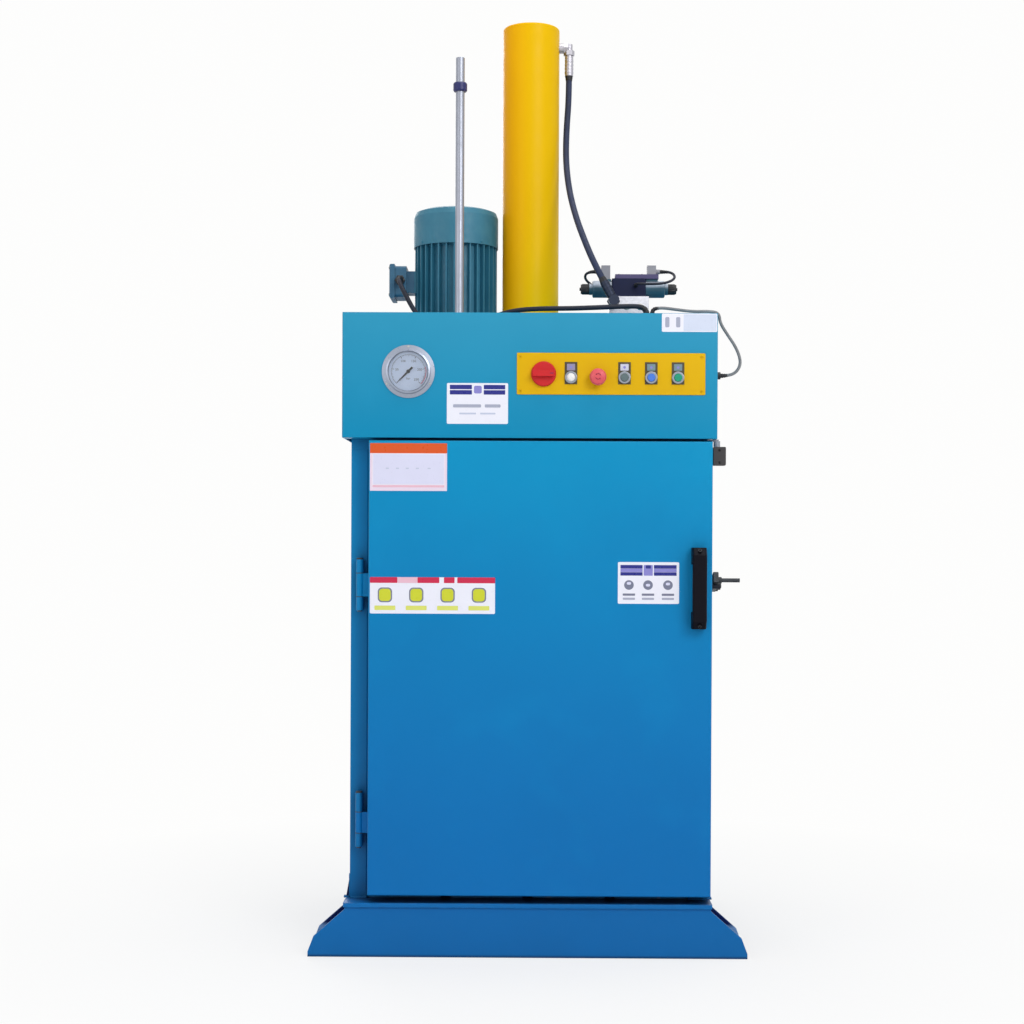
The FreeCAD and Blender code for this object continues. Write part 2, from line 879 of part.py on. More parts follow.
def make_panel():
    """Yellow control panel with its main switch, lamp and push buttons."""
    face = -panel_face
    z = dim.control_z
    places = control_places()
    bore = dim.bezel_bore / 2

    body = new_body("panel_plate")
    holes = [disc(x, z, bore + 0.5) for x in places]
    pad(body, "XZ", face, face + 2,
        box(-dim.panel_left, dim.panel_right, dim.panel_low, dim.panel_high),
        disc(dim.switch_x, dim.switch_z, 7), *holes)
    soften(body, 3, runs_along("Y"))

    # dark plates with a label window above the control, one each but for the stop
    body = new_body("legend_plates")
    for step in (0, 2, 3, 4):
        x = places[step]
        pad(body, "XZ", face - 1.2, face,
            box(x - 15, x + 15, z - 16, z + 37), disc(x, z, bore + 0.5))

    # bezel rings and their threaded necks through the panel
    body = new_body("button_bezels")
    for step, x in enumerate(places):
        seat = face if step == 1 else face - 1.2
        ring = dim.bezel / 2
        pad(body, "XZ", seat - 5, seat, disc(x, z, ring), disc(x, z, bore - 1.2))
        pad(body, "XZ", seat, face + dim.bezel_neck, disc(x, z, bore), disc(x, z, bore - 1.2))
    soften(body, 1, lambda edge: round_at("Y", face - 6.2)(edge) and edge.Curve.Radius > 14)

    # contact blocks that the necks plug into
    body = new_body("contact_blocks")
    near = face + dim.bezel_neck
    for x in places:
        pad(body, "XZ", near, near + 44, box(x - 15, x + 15, z - 21, z + 21))
    x = dim.switch_x
    top = dim.switch_z
    half = 24
    pad(body, "XZ", face + 2, face + 62, box(x - half, x + half, top - half, top + half))
    cut(body, "XZ", face + 1, face + 26, disc(x, top, 7))

    body = new_body("pilot_lamp")
    turn(body, "XY", [(0, 26), (bore - 1.2, 26), (bore - 1.2, -6.2), (7, -9.6), (0, -10.6)])
    place(body, places[0], face, z)

    make_main_switch()
    make_buttons(places)


def make_main_switch():
    """Round rotary handle with a grip across it."""
    body = new_body("main_switch_knob")
    turn(body, "XY", [
        (0, 20),
        (6.2, 20),
        (6.2, -0.6),
        (30, -0.6),
        (30, -6),
        (28, -9),
        (0, -9),
    ])
    pad(body, "XZ", -24, -8, box(-26, 26, -7, 7))
    doc.recompute()

    def on_grip(edge):
        return runs_along("Y")(edge) and edge.BoundBox.YMin < -20

    soften(body, 4, on_grip)
    place(body, dim.switch_x, -panel_face, dim.switch_z)


def make_buttons(places):
    cap = dim.bezel_bore / 2 - 1.2 - dim.cap_gap
    for name, step in (("button_black", 2), ("button_blue", 3), ("button_green", 4)):
        body = new_body(name)
        turn(body, "XY", [(0, 22), (cap, 22), (cap, -8), (cap - 1.2, -9.4), (0, -9.4)])
        place(body, places[step], -panel_face, dim.control_z)

    # mushroom head on its stem
    body = new_body("estop_button")
    turn(body, "XY", [
        (0, 20),
        (7, 20),
        (7, -12),
        (14, -13),
        (20, -17),
        (20, -22),
        (17, -27),
        (9, -30),
        (0, -30.5),
    ])
    place(body, places[1], -panel_face, dim.control_z)


# ---------------------------------------------------------------- cylinder and ram


def make_cylinder():
    """Press cylinder on the crosshead, with its piston, its rod and the press plate."""
    outer = dim.tube_outer / 2
    bore = dim.tube_bore / 2
    base = head_bottom + dim.tube_flange_plate
    gland_top = base + 45

    # tube with its welded end, open at the bottom
    body = new_body("cylinder_tube")
    turn(body, "XZ", [
        (bore, base),
        (outer, base),
        (outer, dim.tube_top),
        (0, dim.tube_top),
        (0, dim.tube_top - 32),
        (bore, dim.tube_top - 32),
    ])
    soften(body, 5, lambda edge: round_at("Z", dim.tube_top)(edge))

    # bolted flange under the tube, with the rod's gland inside the bore
    body = new_body("cylinder_flange")
    rod = dim.rod / 2 + dim.fit
    flange = dim.tube_flange / 2
    turn(body, "XZ", [
        (rod, head_bottom),
        (flange, head_bottom),
        (flange, base),
        (bore, base),
        (bore, gland_top),
        (rod + 6, gland_top),
        (rod, gland_top - 6),
    ])
    bolt = pad(body, "XY", base, base + 10, disc(flange - 14, 0, 9))
    ring_of(body, bolt, 8)

    body = new_body("piston")
    fit = bore - dim.fit
    low = dim.piston_top - dim.piston_height
    turn(body, "XZ", [
        (0, low),
        (fit, low),
        (fit, low + 22),
        (fit - 3, low + 22),
        (fit - 3, low + 38),
        (fit, low + 38),
        (fit, dim.piston_top),
        (0, dim.piston_top),
    ])

    body = new_body("piston_rod")
    top_of_platen = dim.platen_bottom + dim.platen_plate
    pad(body, "XY", top_of_platen, low, disc(0, 0, dim.rod / 2))
    make_platen(top_of_platen)


def make_platen(top):
    """Press plate: strap grooves below, ribs and the rod's boss above."""
    body = new_body("platen")
    half = dim.platen_width / 2
    depth = dim.platen_depth / 2
    pad(body, "XY", dim.platen_bottom, top, box(-half, half, -depth, depth))
    pitch = dim.bar_width + dim.bar_gap
    groove = dim.bar_gap / 2
    loops = [box(step * pitch - groove, step * pitch + groove, dim.platen_bottom - 1, dim.platen_bottom + 12)
             for step in (-1, 0, 1)]
    cut(body, "XZ", -depth - 1, depth + 1, *loops)
    ring = dim.rod / 2 + 26
    plate = 12
    high = top + 70
    pad(body, "XY", top, top + 90, disc(0, 0, ring), disc(0, 0, dim.rod / 2))
    long_rib = [(ring - 3, top), (half - 12, top), (half - 12, top + 24), (ring - 3, high)]
    rib = pad(body, "XZ", -plate / 2, plate / 2, long_rib)
    mirror(body, [rib], "YZ")
    short_rib = [(ring - 3, top), (depth - 12, top), (depth - 12, top + 24), (ring - 3, high)]
    rib = pad(body, "YZ", -plate / 2, plate / 2, short_rib)
    mirror(body, [rib], "XZ")

    body = new_body("indicator_rod")
    x = -dim.gauge_rod_x
    y = -dim.gauge_rod_y
    pad(body, "XY", top, dim.gauge_rod_top, disc(x, y, dim.gauge_rod / 2))
    pad(body, "XY", top, top + 14, disc(x, y, 16))
    soften(body, 1.5, round_at("Z", dim.gauge_rod_top))

    body = new_body("rod_collar")
    rod = dim.gauge_rod / 2
    turn(body, "XZ", [(rod, 0), (15.5, 0), (17.5, 3), (17.5, 19), (15.5, 22), (rod, 22)])
    place(body, x, y, dim.collar_z)


# ---------------------------------------------------------------- motor, pump, valve


def make_motor():
    """Finned motor on the top plate, with its fan, terminal box and the pump below."""
    x = -dim.motor_x
    y = dim.motor_y
    shoulder = dim.motor_shoulder - head_top
    bore = dim.shaft / 2 + 0.06

    # finned cast frame on its flange, drawn about its own axis
    body = new_body("motor_frame")
    barrel = dim.barrel_radius
    rim = dim.motor_radius
    turn(body, "XZ", [
        (bore, 0),
        (rim, 0),
        (rim, 12),
        (barrel + 4, 16),
        (barrel + 4, 26),
        (barrel, 28),
        (barrel, shoulder - 8),
        (barrel + 3, shoulder - 6),
        (barrel + 3, shoulder + 6),
        (40, shoulder + 12),
        (bore, shoulder + 12),
    ])
    half = dim.fin_thickness / 2
    fin = pad(body, "XY", 22, shoulder + 1, box(barrel - 2, rim, -half, half))
    ring_of(body, fin, SIZES["fin_count"])
    low = dim.terminal_low - head_top
    high = dim.terminal_high - head_top
    pad(body, "YZ", -rim, 5 - barrel, box(-30, 30, low + 12, high - 12))
    place(body, x, y, head_top)

    # pressed cover over the fan, with slots for the air in its top
    body = new_body("fan_cover")
    outer = dim.fan_cover_radius
    rise = dim.motor_top - dim.motor_shoulder + 4
    sheet = 2
    bend = 18
    turn(body, "XZ", [
        (outer - sheet, 0),
        (outer, 0),
        (outer, rise - bend),
        (outer - 5, rise - 5),
        (outer - bend, rise),
        (0, rise),
        (0, rise - sheet),
        (outer - bend - 1, rise - sheet),
        (outer - 6.5, rise - 6.5),
        (outer - sheet, rise - bend - 1),
    ])
    slot = cut(body, "XY", rise - sheet - 1, rise + 1, box(26, outer - bend - 6, -3, 3))
    ring_of(body, slot, 20)
    inner = dim.barrel_radius + 3
    screw = pad(body, "YZ", inner, outer + 2, disc(0, 7, 3.5))
    ring_of(body, screw, 4)
    place(body, x, y, dim.motor_shoulder - 4, "Z", 39.4)

    body = new_body("motor_shaft")
    pad(body, "XY", -70, shoulder + 66, disc(0, 0, dim.shaft / 2))
    soften(body, 1.5, round_at("Z", shoulder + 66), "Chamfer")
    place(body, x, y, head_top)

    body = new_body("motor_fan")
    low = shoulder + 22
    high = shoulder + 62
    turn(body, "XZ", [(dim.shaft / 2, low), (24, low), (88, low + 4), (88, low + 7), (24, low + 6),
                      (24, high), (dim.shaft / 2, high)])
    blade = pad(body, "XY", low + 5, high - 4, box(22, 86, -1.5, 1.5))
    ring_of(body, blade, 8)
    place(body, x, y, head_top)

    make_terminal_box(x, y)

    # gear pump under the plate, in the oil
    body = new_body("pump")
    turn(body, "XZ", [
        (dim.shaft / 2 + 0.5, 0),
        (62, 0),
        (62, -14),
        (44, -18),
        (44, -110),
        (12, -112),
        (12, -150),
        (0, -150),
        (0, -78),
        (dim.shaft / 2 + 0.5, -78),
    ])
    place(body, x, y, lid_bottom)


def make_terminal_box(x, y):
    """Cast box on the motor's left side: neck, body, lid and the lead's entry in front."""
    body = new_body("terminal_box")
    low = dim.terminal_low - head_top
    high = dim.terminal_high - head_top
    neck = -dim.motor_radius - 20
    lid = neck - 30
    outside = lid - 14
    pad(body, "YZ", neck, -dim.motor_radius, box(-30, 30, low + 12, high - 12))
    pad(body, "YZ", lid, neck, box(-46, 46, low, high))

    def at_corner(edge):
        return runs_along("X")(edge) and edge.BoundBox.YLength < 0.01 and abs(edge.BoundBox.YMin) > 40

    soften(body, 8, at_corner)
    pad(body, "YZ", outside, lid, box(-50, 50, low - 4, high + 4))
    soften(body, 5, lambda edge: abs(edge.BoundBox.XMax - outside.number) < 0.01)
    pad(body, "XZ", -58, -46, disc((lid + neck) / 2, (low + high) / 2, 12))
    place(body, x, y, head_top)


def make_valve():
    """Solenoid valve on its block: two coils in line, plugs on top."""
    x = dim.valve_x
    y = -dim.valve_y
    half = dim.manifold_width / 2
    depth = dim.manifold_depth / 2

    body = new_body("manifold_block")
    pad(body, "XY", head_top, head_top + 12, box(x - half - 12, x + half + 12, y - depth, y + depth))
    pad(body, "XY", head_top + 12, dim.manifold_top, box(x - half, x + half, y - depth, y + depth))
    soften(body, 2, runs_along("Z"))

    body = new_body("valve_body")
    middle = dim.coil_z
    low = dim.manifold_top
    pad(body, "XY", low, low + 46, box(x - 42, x + 42, y - 24, y + 24))
    pad(body, "XY", low + 46, low + 57, box(x - 34, x + 74, y - 20, y + 20))
    soften(body, 3, runs_along("Z"))

    # coils with their tube ends and manual buttons
    body = new_body("solenoids")
    side = [
        (42, 0),
        (42, 21),
        (88, 21),
        (90, 19),
        (90, 14),
        (98, 14),
        (98, 12),
        (119, 12),
        (119, 4),
        (122, 4),
        (122, 0),
    ]
    coil = turn(body, "XY", side, "H_Axis")
    seat = pad(body, "XY", 18, 24, box(44, 72, -13, 13))
    mirror(body, [coil, seat], "YZ")
    place(body, x, y, middle)

    # the right plug sits higher, over the valve's cover
    body = new_body("solenoid_plugs")
    neck = 44
    for side, seat in ((-1, 24), (1, 35)):
        pad(body, "XY", seat, 58, box(side * 46, side * 68, -13, 13))
        pad(body, "YZ", *sorted((side * 68, side * 78)), disc(0, neck, 6))
    place(body, x, y, middle)


# ---------------------------------------------------------------- hose, leads and their ends

# Each route is chosen by hand: straight runs, joined by arcs as large as the runs allow.

HOSE_ROUTE = [
    (98, 0, 2212),
    (98, 0, 2152),
    (92, -8, 2072),
    (90, -34, 1985),
    (98, -84, 1897),
    (115, -146, 1815),
    (138, -206, 1740),
    (159, -240, 1684),
    (182, -247, 1640),
]

MOTOR_LEAD_ROUTE = [
    (-337, -50, 1674),
    (-337, -68, 1674),
    (-336, -88, 1667),
    (-331, -105, 1653),
    (-321, -115, 1633),
    (-310, -119, 1612),
    (-299, -121, 1592),
    (-286, -122, 1573),
    (-268, -124, 1560),
    (-246, -126, 1554),
    (-214, -127, 1553.5),
    (-162, -130, 1553.5),
    (-100, -160, 1555),
    (-40, -206, 1560),
    (25, -246, 1565),
    (100, -268, 1568),
    (175, -276, 1570),
    (232, -278, 1575),
    (266, -278, 1577),
    (286, -278, 1576.5),
    (297, -278, 1571.5),
    (303, -278, 1562.5),
    (303, -278, 1552),
]

SIDE_LEAD_ROUTE = [
    (296, -318, 1551),
    (296, -318, 1559),
    (302, -318, 1565),
    (321, -319, 1567),
    (356, -322, 1562),
    (396, -325, 1557),
    (434, -326, 1558),
    (462, -325, 1550),
    (472, -322, 1526),
    (491, -318, 1498),
    (508, -310, 1468),
    (515, -302, 1438),
    (505, -297, 1415),
    (485, -295, 1405),
    (464, -295, 1405),
]

LEFT_LEAD_ROUTE = [
    (167, -190, 1674),
    (157, -190, 1674),
    (147, -186, 1673),
    (139, -177, 1670),
    (137, -164, 1664),
    (142, -150, 1657),
    (154, -139, 1649),
    (170, -131, 1642),
    (187, -126, 1637),
    (204, -125, 1634),
    (216, -131, 1633),
    (222, -143, 1633),
    (222, -158, 1633),
]

RIGHT_LEAD_ROUTE = [
    (323, -190, 1674),
    (336, -190, 1674),
    (350, -195, 1672),
    (358, -207, 1664),
    (358, -221, 1654),
    (349, -234, 1645),
    (332, -244, 1638),
    (311, -251, 1635),
    (291, -255, 1634),
    (275, -252, 1635),
    (264.5, -243, 1636),
    (262, -231, 1636),
    (262, -222, 1636),
]


def cord_edges(points, name):
    """The runs and arcs of a route, and the smallest radius in it."""
    edges = []
    radii = []
    start = points[0]
    for before, corner, after in zip(points, points[1:], points[2:]):
        back = before - corner
        ahead = after - corner
        turn_angle = math.pi - back.getAngle(ahead)
        short = min(back.Length, ahead.Length)
        radius = 0.45 * short / math.tan(turn_angle / 2)
        radii.append(radius)
        reach = 0.45 * short
        enter = corner + back.normalize() * reach
        leave = corner + ahead.normalize() * reach
        inward = (enter + leave) * 0.5 - corner
        rise = radius / math.cos(turn_angle / 2) - radius
        middle = corner + inward.normalize() * rise
        edges.append(Part.LineSegment(start, enter).toShape())
        edges.append(Part.Arc(enter, middle, leave).toShape())
        start = leave
    edges.append(Part.LineSegment(start, points[-1]).toShape())
    print(name, "radii", " ".join(f"{radius:.0f}" for radius in radii))
    return edges


def make_cord(name, route, diameter):
    """A round tube along a route."""
    points = [FreeCAD.Vector(*point) for point in route]
    path = Part.Wire(cord_edges(points, name))
    radius = diameter.number / 2
    ahead = points[1] - points[0]
    section = Part.Wire([Part.makeCircle(radius, points[0], ahead)])
    tube = path.makePipeShell([section], True, False)
    expected = math.pi * radius**2 * path.Length
    if abs(tube.Volume / expected - 1) > 0.01:
        raise ValueError(f"{name} has volume {tube.Volume}, not {expected}")
    print(name, "length", round(path.Length, 1))
    cord = doc.addObject("Part::Feature", name)
    cord.Shape = tube
    nodes.append(cord)


def make_cylinder_solid(doc_name, radius, length, spot, way):
    """A plain round piece that starts at a spot and points some way."""
    piece = doc.addObject("Part::Cylinder", doc_name)
    bind(piece, "Radius", radius)
    bind(piece, "Height", length)
    piece.Placement = FreeCAD.Placement(
        FreeCAD.Vector(*spot), FreeCAD.Rotation(FreeCAD.Vector(0, 0, 1), FreeCAD.Vector(*way)))
    return piece


def make_ends():
    """Crimped hose ends with their elbows, and the glands of the leads."""
    pieces = []
    top = HOSE_ROUTE[0]
    bottom = HOSE_ROUTE[-1]
    before = HOSE_ROUTE[-2]
    slope = [a - b for a, b in zip(bottom, before)]
    reach = math.sqrt(sum(part * part for part in slope))
    elbow = [a + 52 * part / reach for a, part in zip(bottom, slope)]
    skirt = dim.hose / 2 + 3
    upper = [
        make_cylinder_solid("hose_boss", 13, 14, (70, 0, top[2] + 72), (1, 0, 0)),
        make_cylinder_solid("hose_union", 9, 20, (80, 0, top[2] + 72), (1, 0, 0)),
        make_cylinder_solid("hose_drop", 9, 32, (top[0], 0, top[2] + 50), (0, 0, 1)),
        make_cylinder_solid("hose_crimp", skirt, 52, top, (0, 0, 1)),
    ]
    lower = [
        make_cylinder_solid("hose_foot", skirt, 40, bottom, slope),
        make_cylinder_solid("hose_neck", 9, 52, bottom, slope),
        make_cylinder_solid("hose_nut", 13, abs(elbow[1]) - dim.valve_y.number
                            - dim.manifold_depth.number / 2 + 12,
                            (elbow[0], elbow[1] - 12, elbow[2]), (0, 1, 0)),
    ]
    for name, group in (("upper_hose_end", upper), ("lower_hose_end", lower)):
        joined = doc.addObject("Part::MultiFuse", name)
        joined.Shapes = group
        joined.Refine = True
        pieces.append(joined)
    trim = doc.addObject("Part::Cylinder", "tube_space")
    bind(trim, "Radius", dim.tube_outer / 2)
    bind(trim, "Height", dim.tube_top)
    shaped = doc.addObject("Part::Cut", "upper_hose_end_cut")
    shaped.Base = pieces[0]
    shaped.Tool = trim
    ends = doc.addObject("Part::Compound", "hose_ends")
    ends.Links = [shaped, pieces[1]]
    nodes.append(ends)

    glands = []
    plate = head_top.number
    spots = [
        ("motor_gland", 10, 12, MOTOR_LEAD_ROUTE[0], (0, 1, 0)),
        ("motor_grommet", 11, 5, (*MOTOR_LEAD_ROUTE[-1][:2], plate), (0, 0, 1)),
        ("side_grommet", 7, 4, (*SIDE_LEAD_ROUTE[0][:2], plate), (0, 0, 1)),
        ("side_gland", 9, 14, SIDE_LEAD_ROUTE[-1], (-1, 0, 0)),
        ("left_gland", 5.5, 8, LEFT_LEAD_ROUTE[-1], (0, -1, 0)),
        ("right_gland", 5.5, 8, RIGHT_LEAD_ROUTE[-1], (0, 1, 0)),
    ]
    for name, radius, length, spot, way in spots:
        glands.append(make_cylinder_solid(name, radius, length, spot, way))
    group = doc.addObject("Part::Compound", "cable_glands")
    group.Links = glands
    nodes.append(group)


def make_cords():
    make_ends()
    make_cord("cap_hose", HOSE_ROUTE, dim.hose)
    make_cord("motor_cable", MOTOR_LEAD_ROUTE, dim.motor_lead)
    make_cord("side_cable", SIDE_LEAD_ROUTE, dim.side_lead)
    make_cord("solenoid_lead_left", LEFT_LEAD_ROUTE, dim.coil_lead)
    make_cord("solenoid_lead_right", RIGHT_LEAD_ROUTE, dim.coil_lead)


# ---------------------------------------------------------------- build and write


def check_document():
    """Stop at the first object that failed or has no sound shape."""
    doc.recompute()
    for thing in doc.Objects:
        if "Invalid" in thing.State or "Error" in thing.State:
            raise ValueError(f"{thing.Name} failed: {thing.State}")
    for node in nodes:
        if node.Shape.isNull() or not node.Shape.isValid() or not node.Shape.Solids:
            raise ValueError(f"{node.Label} has no sound solid")


def write_parts():
    os.makedirs("parts", exist_ok=True)
    for node in nodes:
        node.Shape.exportStep(f"parts/{node.Label}.step")
    print(len(nodes), "nodes")


make_base()
make_chamber()
make_door()
make_latch()
make_interlock()
make_head()
make_gauge()
make_panel()
make_cylinder()
make_motor()
make_valve()
make_cords()
check_document()
write_parts()
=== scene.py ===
"""Looks of a vertical recycling baler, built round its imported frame.

Metres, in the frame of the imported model: X is right, Y is back, Z is up and the door faces -Y.
Places that carry a size of the model are read from its nodes.
"""

import json
import math
import random

import bmesh
import bpy
from mathutils import Matrix, Vector


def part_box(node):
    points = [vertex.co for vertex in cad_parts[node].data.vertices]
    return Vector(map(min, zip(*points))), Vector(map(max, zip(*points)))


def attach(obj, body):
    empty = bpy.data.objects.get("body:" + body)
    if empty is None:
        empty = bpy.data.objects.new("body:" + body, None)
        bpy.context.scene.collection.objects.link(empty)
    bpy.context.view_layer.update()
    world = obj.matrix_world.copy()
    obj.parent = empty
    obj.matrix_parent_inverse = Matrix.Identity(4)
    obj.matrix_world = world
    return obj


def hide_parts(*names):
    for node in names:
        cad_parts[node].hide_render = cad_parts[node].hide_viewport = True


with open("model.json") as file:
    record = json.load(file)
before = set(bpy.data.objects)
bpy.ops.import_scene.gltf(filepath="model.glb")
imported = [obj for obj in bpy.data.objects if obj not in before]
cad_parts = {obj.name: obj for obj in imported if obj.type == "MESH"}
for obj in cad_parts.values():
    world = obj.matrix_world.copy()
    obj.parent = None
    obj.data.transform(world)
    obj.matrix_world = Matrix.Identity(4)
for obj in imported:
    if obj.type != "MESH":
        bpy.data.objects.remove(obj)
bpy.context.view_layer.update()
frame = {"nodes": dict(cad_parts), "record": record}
nodes = frame["nodes"]
chance = random.Random(7)

# ---- camera, light and floor

EYE = Vector((0.0055, -4.5452, 0.9882))
YAW = -0.0072
PITCH = -0.0060
ROLL = 0.0044
LENS = 61.23
SHIFT = (-0.0066, 0.0434)
WHITE = (0.985, 0.985, 0.98, 1)
SKY = (0.46, 0.47, 0.49, 1)
FLOOR_LEVEL = -0.0005
FLOOR_REACH = 14


def make_camera():
    """The photograph's view, almost level, straight in front of the door."""
    bpy.context.scene.view_settings.view_transform = "Standard"
    data = bpy.data.cameras.new("camera")
    data.sensor_width = 36
    data.lens = LENS
    data.shift_x, data.shift_y = SHIFT
    data.clip_end = 60
    forward = Vector((math.sin(YAW) * math.cos(PITCH), math.cos(YAW) * math.cos(PITCH), math.sin(PITCH)))
    right = Vector((math.cos(YAW), -math.sin(YAW), 0))
    up = right.cross(forward)
    across = right * math.cos(ROLL) + up * math.sin(ROLL)
    above = up * math.cos(ROLL) - right * math.sin(ROLL)
    camera = bpy.data.objects.new("camera", data)
    camera.matrix_world = Matrix.Translation(EYE) @ Matrix((across, above, -forward)).transposed().to_4x4()
    bpy.context.scene.collection.objects.link(camera)
    bpy.context.scene.camera = camera


def make_lamp(name, place, target, size, power):
    data = bpy.data.lights.new(name, "AREA")
    data.shape = "DISK"
    data.size = size
    data.energy = power
    lamp = bpy.data.objects.new(name, data)
    way = Vector(target) - Vector(place)
    lamp.matrix_world = Matrix.Translation(place) @ way.to_track_quat("-Z", "Y").to_matrix().to_4x4()
    bpy.context.scene.collection.objects.link(lamp)


def make_lights():
    make_lamp("front_key", (2.3, -4.3, 3.4), (0, -0.3, 1.3), 2.6, 96)
    make_lamp("front_fill", (-3.2, -3.4, 2.2), (0, -0.3, 1.1), 2.4, 22)
    make_lamp("top_soft", (0.2, -0.6, 5.2), (0, 0, 1.6), 3.0, 64)
    make_lamp("rear_soft", (-1.2, 4.6, 3.2), (0, 0.2, 1.2), 3.0, 55)


def feed(tree, socket, value):
    """Join a socket to another one, or give it a plain value."""
    if isinstance(value, bpy.types.NodeSocket):
        tree.links.new(value, socket)
    else:
        socket.default_value = value


def add_node(tree, kind, values=(), **settings):
    """A new node with some settings, and with values for its inputs, in order or by name."""
    made = tree.nodes.new(kind)
    for key, value in settings.items():
        setattr(made, key, value)
    for key, value in values.items() if isinstance(values, dict) else enumerate(values):
        feed(tree, made.inputs[key], value)
    return made


def seen_plainly(tree):
    """1 for camera, mirror and glass rays, else 0."""
    rays = add_node(tree, "ShaderNodeLightPath").outputs
    seen = rays["Is Camera Ray"]
    for ray in ("Is Glossy Ray", "Is Transmission Ray"):
        seen = add_node(tree, "ShaderNodeMath", (seen, rays[ray]), operation="MAXIMUM").outputs[0]
    return seen


def make_world():
    """White behind the part, and a grey that lights it softly from all round."""
    world = bpy.data.worlds.new("studio")
    world.use_nodes = True
    bpy.context.scene.world = world
    tree = world.node_tree
    tones = {0: seen_plainly(tree), 6: SKY, 7: WHITE}
    choose = add_node(tree, "ShaderNodeMix", tones, data_type="RGBA")
    feed(tree, tree.nodes["Background"].inputs["Color"], choose.outputs[2])


def make_floor():
    """A wide pale floor: it takes the part's soft shadow and turns white away from it."""
    form = bmesh.new()
    corners = ((-1, -1), (1, -1), (1, 1), (-1, 1))
    form.faces.new([form.verts.new((x * FLOOR_REACH, y * FLOOR_REACH, FLOOR_LEVEL)) for x, y in corners])
    mesh = bpy.data.meshes.new("floor")
    form.to_mesh(mesh)
    form.free()
    floor = bpy.data.objects.new("floor", mesh)
    bpy.context.scene.collection.objects.link(floor)
    look = Look("floor_pale", srgb(232, 232, 232), 0.75)
    look.paint(look.noise(1.3, 3), srgb(244, 244, 244), srgb(250, 250, 250))
    away = look.node("ShaderNodeVectorMath", (look.place,), operation="LENGTH")
    share = look.ramp(away.outputs["Value"], 0.55, 1.9, 0.70, 1.0)
    share = look.times(share, seen_plainly(look.tree))
    white = look.node("ShaderNodeEmission", (WHITE,))
    blend = look.node("ShaderNodeMixShader", (share, look.shader.outputs[0], white.outputs[0]))
    feed(look.tree, look.tree.nodes["Material Output"].inputs["Surface"], blend.outputs[0])
    floor.data.materials.append(look.material)


# ---- procedural materials

LOOKS = {}


def srgb(red, green, blue):
    """A linear colour from 8-bit screen values."""

    def linear(value):
        value /= 255
        return value / 12.92 if value <= 0.04045 else ((value + 0.055) / 1.055) ** 2.4

    return (linear(red), linear(green), linear(blue), 1)


def shade(colour, factor):
    return (*(min(1.0, part * factor) for part in colour[:3]), 1)


